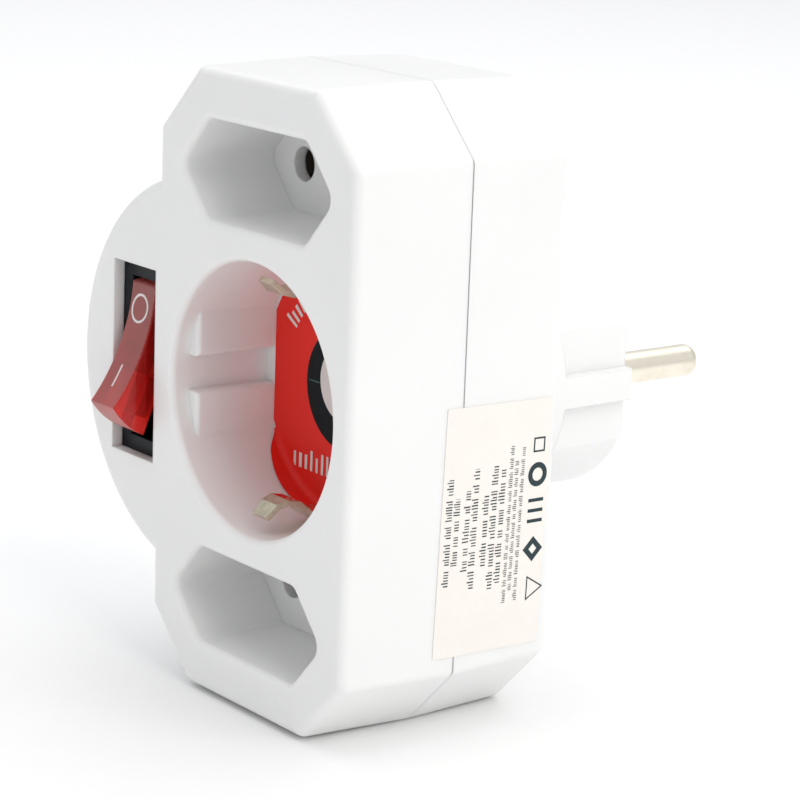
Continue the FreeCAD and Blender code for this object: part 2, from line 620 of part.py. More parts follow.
def earth_link():
    """Z-shaped strip from the socket's earth bracket back to the plug's earth strap."""
    front = at_depth(SOCKET_DEPTH + SOCKET_FLOOR) + STRIP
    back = BACK_Y - WALL - STRIP
    half = EARTH_WIDTH / 2
    solid = fuse(box(-half, half, front, front + STRIP, 0, LINK_FOOT + STRIP),
                 box(-half, half, front, back, 0, STRIP),
                 box(-half, half, back - STRIP, back, -LINK_FOOT, STRIP))
    holes = [rod_y(0, LINK_FOOT / 2 + STRIP, RIVET_RADIUS, front - OVERCUT, front + STRIP + OVERCUT),
             rod_y(0, -LINK_FOOT / 2 + STRIP / 2, RIVET_RADIUS, back - STRIP - OVERCUT, back + OVERCUT)]
    return solid.cut(holes)


def earth_rivets():
    """Two rivets that join the earth link to the bracket and to the strap."""
    front = at_depth(SOCKET_DEPTH + SOCKET_FLOOR)
    back = BACK_Y - WALL
    upper_z = LINK_FOOT / 2 + STRIP
    lower_z = -LINK_FOOT / 2 + STRIP / 2
    upper = fuse(rod_y(0, upper_z, RIVET_RADIUS, front, front + 2 * STRIP),
                 taper_y(0, upper_z, RIVET_HEAD_RADIUS, RIVET_RADIUS, front + 2 * STRIP,
                         front + 2 * STRIP + RIVET_HEAD_HEIGHT))
    lower = fuse(rod_y(0, lower_z, RIVET_RADIUS, back - 2 * STRIP, back),
                 taper_y(0, lower_z, RIVET_RADIUS, RIVET_HEAD_RADIUS, back - 2 * STRIP - RIVET_HEAD_HEIGHT,
                         back - 2 * STRIP),
                 taper_y(0, lower_z, RIVET_HEAD_RADIUS, RIVET_RADIUS, back, back + RIVET_HEAD_HEIGHT))
    return Part.makeCompound([upper, lower])


def busbar(side):
    """Upright busbar, standing on edge beside the pin holes."""
    front = at_depth(BUS_FRONT_DEPTH)
    return box(side * BUS_FACE_X, side * (BUS_FACE_X + STRIP), front, front + BUS_WIDTH,
               -BUS_HALF_LENGTH, BUS_HALF_LENGTH)


def neutral_busbar():
    """Neutral busbar with the tab that is riveted on the neutral pin."""
    tab_y = at_depth(pin_tab_depth())
    arm = box(BUS_FACE_X, BUS_FACE_X + STRIP, at_depth(BUS_FRONT_DEPTH), tab_y + STRIP,
              -TAB_HALF_WIDTH, TAB_HALF_WIDTH)
    foot = box(PIN_X - TAB_HALF_WIDTH, BUS_FACE_X + STRIP, tab_y, tab_y + STRIP,
               -TAB_HALF_WIDTH, TAB_HALF_WIDTH)
    hole = rod_y(PIN_X, 0, PIN_TAIL_RADIUS, tab_y - OVERCUT, tab_y + STRIP + OVERCUT)
    return fuse(busbar(1), arm, foot).cut(hole)


def line_pin_tab():
    """Solder tab riveted on the line pin."""
    tab_y = at_depth(pin_tab_depth())
    plate = fuse(box(-PIN_X - TAB_HALF_WIDTH, -PIN_X + TAB_HALF_WIDTH, tab_y, tab_y + STRIP,
                     -TAB_HALF_WIDTH, TAB_HALF_WIDTH),
                 box(-PIN_X - LINE_TAB_NECK_HALF, -PIN_X + LINE_TAB_NECK_HALF, tab_y, tab_y + STRIP,
                     -TAB_HALF_WIDTH, LINE_TAB_TOP))
    return plate.cut(rod_y(-PIN_X, 0, PIN_TAIL_RADIUS, tab_y - OVERCUT, tab_y + STRIP + OVERCUT))


def contact_fork(side, pin_x, pin_radius, centre_z):
    """Folded contact clip: two leaves beside the pin, joined by a web above it, with flared lips."""
    front = at_depth(LEAF_FRONT_DEPTH)
    back = front + LEAF_LENGTH
    outer_in = BUS_FACE_X - LEAF
    inner_in = pin_x - pin_radius - LEAF_GAP
    low = centre_z - LEAF_HALF_WIDTH
    high = centre_z + LEAF_HALF_WIDTH
    outer = box(side * outer_in, side * BUS_FACE_X, front, back, low, high)
    inner = box(side * (inner_in - LEAF), side * inner_in, front, back, low, high)
    web = box(side * (inner_in - LEAF), side * BUS_FACE_X, front, back, high - LEAF, high)
    lips = []
    for face, thick, away in ((outer_in, LEAF, 1), (inner_in, -LEAF, -1)):
        points = [V(side * face, front, low), V(side * (face + thick), front, low),
                  V(side * (face + thick + away * LEAF_LIP_FLARE), front - LEAF_LIP, low),
                  V(side * (face + away * LEAF_LIP_FLARE), front - LEAF_LIP, low)]
        wire = Part.makePolygon(points + [points[0]])
        lips.append(Part.Face(wire).extrude(V(0, 0, high - LEAF - low)))
    return fuse(outer, inner, web, *lips)


def rocker_point(angle, radius, x):
    """Point at an angle from the outward direction of the level rocker, in the rocker's plane."""
    turn = math.radians(angle)
    return V(x, at_depth(ROCKER_PIVOT_DEPTH) - radius * math.cos(turn), radius * math.sin(turn))


def tilt_rocker(shape):
    """Turn a level rocker piece to its rest pose, with the upper end pressed in."""
    shape.rotate(V(SWITCH_X, at_depth(ROCKER_PIVOT_DEPTH), 0), V(1, 0, 0), -ROCKER_TILT)
    return shape


def switch_rocker():
    """Clear red rocker: dished face, round ends, trunnions, plunger stem and lamp pocket."""
    half_width = FRAME_OPENING_HALF_WIDTH - ROCKER_SIDE_GAP
    x0 = SWITCH_X - half_width
    pivot_y = at_depth(ROCKER_PIVOT_DEPTH)
    tip_height = ROCKER_RADIUS * math.cos(math.radians(ROCKER_HALF_SPAN))
    upper_tip = rocker_point(ROCKER_HALF_SPAN, ROCKER_RADIUS, x0)
    lower_tip = rocker_point(-ROCKER_HALF_SPAN, ROCKER_RADIUS, x0)
    skirt_middle = (ROCKER_HALF_SPAN + ROCKER_SKIRT_ANGLE) / 2
    upper_skirt = rocker_point(ROCKER_SKIRT_ANGLE, ROCKER_RADIUS, x0)
    lower_skirt = rocker_point(-ROCKER_SKIRT_ANGLE, ROCKER_RADIUS, x0)
    dish = V(x0, pivot_y - tip_height + ROCKER_DISH, 0)
    edges = [Part.Arc(upper_tip, dish, lower_tip).toShape(),
             Part.Arc(lower_tip, rocker_point(-skirt_middle, ROCKER_RADIUS, x0), lower_skirt).toShape(),
             Part.LineSegment(lower_skirt, upper_skirt).toShape(),
             Part.Arc(upper_skirt, rocker_point(skirt_middle, ROCKER_RADIUS, x0), upper_tip).toShape()]
    lens = Part.Face(Part.Wire(edges)).extrude(V(2 * half_width, 0, 0))
    tips = [edge for edge in lens.Edges
            if edge.BoundBox.YMax < pivot_y - tip_height + ROCKER_DISH + EDGE_MARGIN]
    lens = lens.makeFillet(ROCKER_EDGE_ROUND, tips)
    stem = box(SWITCH_X - STEM_HALF_WIDTH, SWITCH_X + STEM_HALF_WIDTH, pivot_y - ROCKER_UNDERSIDE,
               pivot_y + STEM_REACH, -STEM_HALF_HEIGHT, STEM_HALF_HEIGHT)
    axle = Part.makeCylinder(TRUNNION_RADIUS, 2 * (half_width + TRUNNION_LENGTH),
                             V(x0 - TRUNNION_LENGTH, pivot_y, 0), V(1, 0, 0))
    solid = fuse(lens, stem, axle)
    bore = rod_y(SWITCH_X, 0, PLUNGER_RADIUS + RUNNING_CLEARANCE, pivot_y - STEM_BORE_TOP,
                 pivot_y + STEM_REACH + OVERCUT)
    pocket_half = LAMP_RADIUS + LAMP_CLEARANCE
    pocket = box(SWITCH_X - pocket_half, SWITCH_X + pocket_half, pivot_y - LAMP_HEIGHT - pocket_half,
                 pivot_y + OVERCUT, -LAMP_FAR - LAMP_CLEARANCE, -LAMP_NEAR + LAMP_CLEARANCE)
    return tilt_rocker(solid.cut([bore, pocket]))


def neon_lamp():
    """Glass lamp with domed ends, lying in the rocker's lower half."""
    y = at_depth(ROCKER_PIVOT_DEPTH) - LAMP_HEIGHT
    tube = Part.makeCylinder(LAMP_RADIUS, LAMP_FAR - LAMP_NEAR, V(SWITCH_X, y, -LAMP_FAR), V(0, 0, 1))
    rims = [edge for edge in tube.Edges if len(edge.Vertexes) == 1]
    return tilt_rocker(tube.makeFillet(LAMP_END_ROUND, rims))


def switch_plunger():
    """Round-nosed plunger in the stem of the rocker."""
    pivot_y = at_depth(ROCKER_PIVOT_DEPTH)
    nose_y = pivot_y + PLUNGER_REACH - PLUNGER_RADIUS
    body = rod_y(SWITCH_X, 0, PLUNGER_RADIUS, pivot_y + PLUNGER_BACK, nose_y)
    return tilt_rocker(fuse(body, Part.makeSphere(PLUNGER_RADIUS, V(SWITCH_X, nose_y, 0))))


def switch_spring():
    """Coil spring between the bottom of the stem's bore and the plunger."""
    pivot_y = at_depth(ROCKER_PIVOT_DEPTH)
    coil_radius = PLUNGER_RADIUS - 2 * SPRING_WIRE_RADIUS
    height = PLUNGER_BACK + STEM_BORE_TOP - 2 * SPRING_WIRE_RADIUS
    helix = Part.makeHelix(height / SPRING_TURNS, height, coil_radius)
    corners = []
    for index in range(SPRING_WIRE_SIDES + 1):
        angle = 2 * math.pi * index / SPRING_WIRE_SIDES
        corners.append(V(coil_radius + SPRING_WIRE_RADIUS * math.cos(angle), 0,
                         SPRING_WIRE_RADIUS * math.sin(angle)))
    coil = Part.Wire(helix).makePipeShell([Part.makePolygon(corners)], True, True)
    coil.rotate(V(0, 0, 0), V(1, 0, 0), -90)
    coil.translate(V(SWITCH_X, pivot_y - STEM_BORE_TOP + SPRING_WIRE_RADIUS, 0))
    return tilt_rocker(coil)


def switch_body():
    """Black switch housing with the rocker opening, the trunnion holes and the terminal slots."""
    front = at_depth(WALL + FRAME_GAP)
    solid = box(SWITCH_X - FRAME_HALF_WIDTH, SWITCH_X + FRAME_HALF_WIDTH, front, at_depth(FRAME_DEPTH),
                -FRAME_HALF_HEIGHT, FRAME_HALF_HEIGHT)
    solid = solid.cut(box(SWITCH_X - FRAME_OPENING_HALF_WIDTH, SWITCH_X + FRAME_OPENING_HALF_WIDTH,
                          front - OVERCUT, at_depth(FRAME_FLOOR_DEPTH),
                          -FRAME_OPENING_HALF_HEIGHT, FRAME_OPENING_HALF_HEIGHT))
    axle_half = FRAME_OPENING_HALF_WIDTH - ROCKER_SIDE_GAP + TRUNNION_LENGTH + RUNNING_CLEARANCE
    axle = Part.makeCylinder(TRUNNION_RADIUS + RUNNING_CLEARANCE, 2 * axle_half,
                             V(SWITCH_X - axle_half, at_depth(ROCKER_PIVOT_DEPTH), 0), V(1, 0, 0))
    stop = box(SWITCH_X - ARM_HALF_WIDTH, SWITCH_X + ARM_HALF_WIDTH, at_depth(STOP_DEPTH),
               at_depth(FRAME_FLOOR_DEPTH), -STOP_END_Z, -STOP_START_Z)
    cuts = [axle]
    for blade_z in (0, OUT_BLADE_Z, LAMP_BLADE_Z):
        cuts.append(box(SWITCH_X - TERMINAL_HALF_WIDTH, SWITCH_X + TERMINAL_HALF_WIDTH,
                        at_depth(FRAME_FLOOR_DEPTH - OVERCUT), at_depth(FRAME_DEPTH + OVERCUT),
                        blade_z - STRIP / 2, blade_z + STRIP / 2))
    return fuse(solid, stop).cut(cuts)


def arm_pivot_depth():
    """Depth of the knife edge on which the contact arm rocks."""
    return ARM_APEX_DEPTH + ARM_THICKNESS / math.cos(math.radians(ARM_RISE_ANGLE))


def tilt_arm(shape):
    """Turn a level contact arm piece to its rest pose, with the contact open."""
    shape.rotate(V(SWITCH_X, at_depth(arm_pivot_depth()), 0), V(1, 0, 0), ARM_TILT)
    return shape


def arm_pad_depth():
    """Depth of the upper side of the flat pads at the ends of the level arm."""
    return ARM_APEX_DEPTH - ARM_PAD_START * math.tan(math.radians(ARM_RISE_ANGLE))


def switch_contact_arm():
    """See-saw contact arm: a shallow V with a flat pad at each end."""
    pad = at_depth(arm_pad_depth())
    apex = at_depth(ARM_APEX_DEPTH)
    drop = at_depth(arm_pivot_depth()) - apex
    half = ARM_THICKNESS * math.tan(math.radians(ARM_RISE_ANGLE / 2))
    x = SWITCH_X - ARM_HALF_WIDTH
    upper = [V(x, pad, -ARM_HALF_LENGTH), V(x, pad, -ARM_PAD_START), V(x, apex, 0),
             V(x, pad, ARM_PAD_START), V(x, pad, ARM_HALF_LENGTH)]
    lower = [V(x, pad + ARM_THICKNESS, ARM_HALF_LENGTH), V(x, pad + ARM_THICKNESS, ARM_PAD_START - half),
             V(x, apex + drop, 0), V(x, pad + ARM_THICKNESS, -ARM_PAD_START + half),
             V(x, pad + ARM_THICKNESS, -ARM_HALF_LENGTH)]
    loop = upper + lower
    wire = Part.makePolygon(loop + [loop[0]])
    return tilt_arm(Part.Face(wire).extrude(V(2 * ARM_HALF_WIDTH, 0, 0)))


def moving_contact():
    """Silver contact on the upper end of the arm."""
    start = at_depth(arm_pad_depth() + ARM_THICKNESS)
    return tilt_arm(rod_y(SWITCH_X, CONTACT_Z, CONTACT_RADIUS, start, start + CONTACT_HEIGHT))


def closed_contact_depth():
    """Depth that the moving contact reaches when the switch is on."""
    reach = arm_pad_depth() + ARM_THICKNESS + CONTACT_HEIGHT - arm_pivot_depth()
    turn = math.radians(ARM_TILT)
    return arm_pivot_depth() + reach * math.cos(turn) + (CONTACT_Z + CONTACT_RADIUS) * math.sin(turn)


def fixed_contact():
    """Silver contact on the outgoing terminal."""
    start = at_depth(closed_contact_depth() + CONTACT_GAP)
    return rod_y(SWITCH_X, CONTACT_Z, CONTACT_RADIUS, start, at_depth(FRAME_FLOOR_DEPTH) - STRIP)


def terminal_in():
    """Incoming terminal: a blade whose top edge is the knife edge under the arm."""
    apex = at_depth(arm_pivot_depth() + RUNNING_CLEARANCE)
    end = at_depth(TERMINAL_END_DEPTH)
    x = SWITCH_X - TERMINAL_HALF_WIDTH
    points = [V(x, apex, 0), V(x, apex + STRIP / 2, STRIP / 2), V(x, end, STRIP / 2),
              V(x, end, -STRIP / 2), V(x, apex + STRIP / 2, -STRIP / 2)]
    wire = Part.makePolygon(points + [points[0]])
    return Part.Face(wire).extrude(V(2 * TERMINAL_HALF_WIDTH, 0, 0))


def terminal_out():
    """Outgoing terminal: a foot under the fixed contact and a blade through the switch floor."""
    floor = at_depth(FRAME_FLOOR_DEPTH)
    x0 = SWITCH_X - TERMINAL_HALF_WIDTH
    x1 = SWITCH_X + TERMINAL_HALF_WIDTH
    return fuse(box(x0, x1, floor - STRIP, floor, CONTACT_Z - CONTACT_RADIUS, OUT_BLADE_Z + STRIP / 2),
                box(x0, x1, floor - STRIP, at_depth(TERMINAL_END_DEPTH),
                    OUT_BLADE_Z - STRIP / 2, OUT_BLADE_Z + STRIP / 2))


def terminal_lamp():
    """Blade that feeds the lamp."""
    return box(SWITCH_X - TERMINAL_HALF_WIDTH, SWITCH_X + TERMINAL_HALF_WIDTH,
               at_depth(LAMP_BLADE_TOP_DEPTH), at_depth(TERMINAL_END_DEPTH),
               LAMP_BLADE_Z - STRIP / 2, LAMP_BLADE_Z + STRIP / 2)


def resistor_end_depth():
    """Depth at which the rear lead of the lamp resistor ends."""
    return TERMINAL_END_DEPTH + 2 * RESISTOR_LEAD + RESISTOR_LENGTH


def lamp_resistor():
    """Series resistor of the lamp, soldered to the end of its blade."""
    start = at_depth(TERMINAL_END_DEPTH)
    body_start = start + RESISTOR_LEAD
    body = rod_y(SWITCH_X, LAMP_BLADE_Z, RESISTOR_RADIUS, body_start, body_start + RESISTOR_LENGTH)
    body = body.makeFillet(RESISTOR_RADIUS / 3, edges_on_plane(body, body_start)
                           + edges_on_plane(body, body_start + RESISTOR_LENGTH))
    leads = rod_y(SWITCH_X, LAMP_BLADE_Z, RESISTOR_LEAD_RADIUS, start, at_depth(resistor_end_depth()))
    return fuse(body, leads)


def bent_path(points, bend):
    """Straight runs joined by tangent arcs of one radius."""
    edges = []
    start = points[0]
    for before, corner, after in zip(points, points[1:], points[2:]):
        back = (before - corner).normalize()
        ahead = (after - corner).normalize()
        half = back.getAngle(ahead) / 2
        reach = bend / math.tan(half)
        middle = corner + (back + ahead).normalize() * (bend / math.sin(half) - bend)
        arc_start = corner + back * reach
        arc_end = corner + ahead * reach
        if (arc_start - start).Length > 0.001:
            edges.append(Part.LineSegment(start, arc_start).toShape())
        edges.append(Part.Arc(arc_start, middle, arc_end).toShape())
        start = arc_end
    edges.append(Part.LineSegment(start, points[-1]).toShape())
    return Part.Wire(edges)


def wire_solid(points, radius, core_radius, bend):
    """Insulated wire along a bent path, with a bare core at each end."""
    first = (points[1] - points[0]).normalize()
    last = (points[-2] - points[-1]).normalize()
    inner = [points[0] + first * WIRE_STRIP] + points[1:-1] + [points[-1] + last * WIRE_STRIP]
    path = bent_path(inner, bend)
    ring = Part.Wire(Part.makeCircle(radius, inner[0], first))
    tube = path.makePipeShell([ring], True, False)
    start = Part.makeCylinder(core_radius, WIRE_STRIP + radius / 2, points[0], first)
    end = Part.makeCylinder(core_radius, WIRE_STRIP + radius / 2, points[-1], last)
    return fuse(tube, start, end)


def line_in_wire():
    """Wire from the line pin to the switch."""
    solder_z = LINE_TAB_TOP - WIRE_RADIUS - LINE_TAB_MARGIN
    points = [V(SWITCH_X, at_depth(TERMINAL_END_DEPTH), 0), V(SWITCH_X, at_depth(WIRE_DEPTH), 0),
              V(-BUS_FACE_X - STRIP - WIRE_RADIUS, at_depth(WIRE_DEPTH), solder_z),
              V(-PIN_X, at_depth(WIRE_DEPTH), solder_z),
              V(-PIN_X, at_depth(pin_tab_depth()), solder_z)]
    return wire_solid(points, WIRE_RADIUS, WIRE_CORE_RADIUS, WIRE_BEND)


def line_out_wire():
    """Wire from the switch to the line busbar."""
    cross_y = at_depth(BUS_FRONT_DEPTH + BUS_WIDTH) - WIRE_RADIUS
    points = [V(SWITCH_X, at_depth(TERMINAL_END_DEPTH), OUT_BLADE_Z), V(SWITCH_X, cross_y, OUT_BLADE_Z),
              V(-BUS_FACE_X - STRIP, cross_y, OUT_BLADE_Z)]
    return wire_solid(points, WIRE_RADIUS, WIRE_CORE_RADIUS, WIRE_BEND / 2)


def lamp_wire():
    """Thin wire from the lamp resistor to the neutral busbar."""
    cross_z = LAMP_BLADE_Z - LAMP_WIRE_DROP
    neutral_x = BUS_FACE_X + STRIP / 2
    points = [V(SWITCH_X, at_depth(resistor_end_depth()), LAMP_BLADE_Z),
              V(SWITCH_X, at_depth(WIRE_DEPTH), LAMP_BLADE_Z),
              V(-BUS_FACE_X - LAMP_WIRE_LEVEL, at_depth(WIRE_DEPTH), cross_z),
              V(neutral_x, at_depth(WIRE_DEPTH), cross_z),
              V(neutral_x, at_depth(BUS_FRONT_DEPTH + BUS_WIDTH), cross_z)]
    return wire_solid(points, THIN_WIRE_RADIUS, THIN_CORE_RADIUS, WIRE_BEND / 2)


def housing_screws():
    """Four screws from the back, through the rear housing into the cover."""
    head_y = SEAM_Y + SCREW_FLOOR
    screws = []
    for side in SIDES:
        for half in SIDES:
            x = side * SCREW_X
            z = half * SCREW_Z
            shank = rod_y(x, z, SCREW_RADIUS, SEAM_Y - SCREW_ENTRY, head_y)
            head = rod_y(x, z, SCREW_HEAD_RADIUS, head_y, head_y + SCREW_HEAD_HEIGHT)
            head = head.makeFillet(SCREW_HEAD_HEIGHT / 2, edges_on_plane(head, head_y + SCREW_HEAD_HEIGHT))
            top = head_y + SCREW_HEAD_HEIGHT
            slot = box(x - SCREW_SLOT_WIDTH / 2, x + SCREW_SLOT_WIDTH / 2, top - SCREW_SLOT_DEPTH, top,
                       z - SCREW_HEAD_RADIUS, z + SCREW_HEAD_RADIUS)
            cross = box(x - SCREW_HEAD_RADIUS, x + SCREW_HEAD_RADIUS, top - SCREW_SLOT_DEPTH, top,
                        z - SCREW_SLOT_WIDTH / 2, z + SCREW_SLOT_WIDTH / 2)
            middle = rod_y(x, z, SCREW_CROSS_RADIUS, top - SCREW_SLOT_DEPTH, top)
            screws.append(fuse(shank, head).cut(fuse(slot, cross).common(middle)))
    return Part.makeCompound(screws)


def rating_label():
    """Paper label on the right side, folded over the parting line."""
    front_y = at_depth(LABEL_FRONT_DEPTH)
    back_y = front_y + LABEL_WIDTH
    low = -FRONT_HALF_HEIGHT
    profile = [(FRONT_HALF_WIDTH, FRONT_Y), (SEAM_HALF_WIDTH, SEAM_Y), (BACK_HALF_WIDTH, BACK_Y)]
    outline = [V(x, y, low) for x, y in profile] + [V(x + PAPER, y, low) for x, y in reversed(profile)]
    skin = Part.Face(Part.makePolygon(outline + [outline[0]])).extrude(V(0, 0, FRONT_HALF_HEIGHT * 2))
    sheet = box(BACK_HALF_WIDTH - OVERCUT, SEAM_HALF_WIDTH + OVERCUT, front_y, back_y,
                LABEL_TOP_Z - LABEL_HEIGHT, LABEL_TOP_Z)
    centre = V(SEAM_HALF_WIDTH, (front_y + back_y) / 2, LABEL_TOP_Z - LABEL_HEIGHT / 2)
    sheet.rotate(centre, V(1, 0, 0), LABEL_TILT)
    return skin.common(sheet)


def socket_sticker():
    """Round sticker on the floor of the round socket, cut clear of the ribs, pins and clips."""
    floor_y = at_depth(SOCKET_DEPTH)
    disc = rod_y(0, 0, STICKER_RADIUS, floor_y - PAPER, floor_y)
    half_width = GUIDE_FACE_X - STICKER_SIDE_GAP
    disc = disc.common(box(-half_width, half_width, floor_y - PAPER, floor_y,
                           -STICKER_RADIUS, STICKER_RADIUS))
    notch = EARTH_WIDTH / 2 + STICKER_NOTCH_MARGIN
    cuts = []
    for side in SIDES:
        cuts.append(rod_y(side * PIN_X, 0, SOCKET_HOLE_RADIUS + STICKER_HOLE_MARGIN,
                          floor_y - PAPER - OVERCUT, floor_y + OVERCUT))
        cuts.append(box(-notch, notch, floor_y - PAPER - OVERCUT, floor_y + OVERCUT,
                        side * (CLIP_WALL_Z - STRIP - STICKER_NOTCH_MARGIN),
                        side * (STICKER_RADIUS + OVERCUT)))
    return disc.cut(cuts)


def main():
    """Build and save every piece."""
    os.makedirs("parts", exist_ok=True)
    write("front_cover", front_cover())
    write("rear_housing", rear_housing())
    write("line_plug_pin", plug_pin(-1))
    write("neutral_plug_pin", plug_pin(1))
    write("plug_earth_strap", plug_earth_strap())
    write("socket_earth_bracket", socket_earth_bracket())
    write("earth_link", earth_link())
    write("earth_rivets", earth_rivets())
    write("line_busbar", busbar(-1))
    write("neutral_busbar", neutral_busbar())
    write("line_pin_tab", line_pin_tab())
    sockets = (("upper", FLAT_PIN_X, FLAT_HOLE_RADIUS, FLAT_CENTRE_Z), ("middle", PIN_X, PIN_RADIUS, 0),
               ("lower", FLAT_PIN_X, FLAT_HOLE_RADIUS, -FLAT_CENTRE_Z))
    for line_name, side in (("line", -1), ("neutral", 1)):
        for place, pin_x, pin_radius, centre_z in sockets:
            write(line_name + "_contact_" + place, contact_fork(side, pin_x, pin_radius, centre_z))
    write("switch_body", switch_body())
    write("switch_rocker", switch_rocker())
    write("neon_lamp", neon_lamp())
    write("switch_plunger", switch_plunger())
    write("switch_spring", switch_spring())
    write("switch_contact_arm", switch_contact_arm())
    write("moving_contact", moving_contact())
    write("fixed_contact", fixed_contact())
    write("terminal_in", terminal_in())
    write("terminal_out", terminal_out())
    write("terminal_lamp", terminal_lamp())
    write("lamp_resistor", lamp_resistor())
    write("line_in_wire", line_in_wire())
    write("line_out_wire", line_out_wire())
    write("lamp_wire", lamp_wire())
    write("housing_screws", housing_screws())
    write("rating_label", rating_label())
    write("socket_sticker", socket_sticker())


main()
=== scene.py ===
"""Looks of a switched plug adapter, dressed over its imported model.

The row frame is used throughout: +Y into the wall, +Z up, +X right seen from the front, in metres. Sizes that
are given in millimetres are turned into metres by MM where they are used.
"""

import logging
import math
import random
from collections.abc import Callable, Sequence
from dataclasses import dataclass, field
from enum import Enum
from functools import cache

import bmesh
import bpy
from mathutils import Matrix, Vector

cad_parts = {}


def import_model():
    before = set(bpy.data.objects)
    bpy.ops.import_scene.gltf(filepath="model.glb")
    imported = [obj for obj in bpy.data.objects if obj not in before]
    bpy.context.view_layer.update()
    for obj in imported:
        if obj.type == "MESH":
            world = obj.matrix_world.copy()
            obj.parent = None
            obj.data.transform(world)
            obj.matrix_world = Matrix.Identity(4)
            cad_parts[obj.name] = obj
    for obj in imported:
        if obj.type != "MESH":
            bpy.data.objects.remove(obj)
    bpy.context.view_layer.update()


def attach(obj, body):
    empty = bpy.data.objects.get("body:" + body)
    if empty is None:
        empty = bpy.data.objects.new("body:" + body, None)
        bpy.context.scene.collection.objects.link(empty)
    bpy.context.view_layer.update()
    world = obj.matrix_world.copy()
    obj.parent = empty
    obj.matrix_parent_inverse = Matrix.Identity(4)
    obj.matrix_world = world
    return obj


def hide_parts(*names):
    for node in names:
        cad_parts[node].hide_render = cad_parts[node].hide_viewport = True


LOG = logging.getLogger("adapter")
MM = 0.001
FRONT_Y = -55.5
SEAM_Y = -36.6
SIDES = (-1, 1)
Colour = tuple[float, float, float]
Point = tuple[float, float]
Placement = Callable[[float, float, float], Vector]


class Body(Enum):
    """The rigid bodies that new pieces ride on."""

    HOUSING = "housing"
    ROCKER = "rocker"


class Slot(Enum):
    """Names of material slots of the record."""

    STICKER = "sticker_paper"
    LABEL = "label_paper"
    ROCKER = "red_rocker"
    LAMP = "lamp_glass"


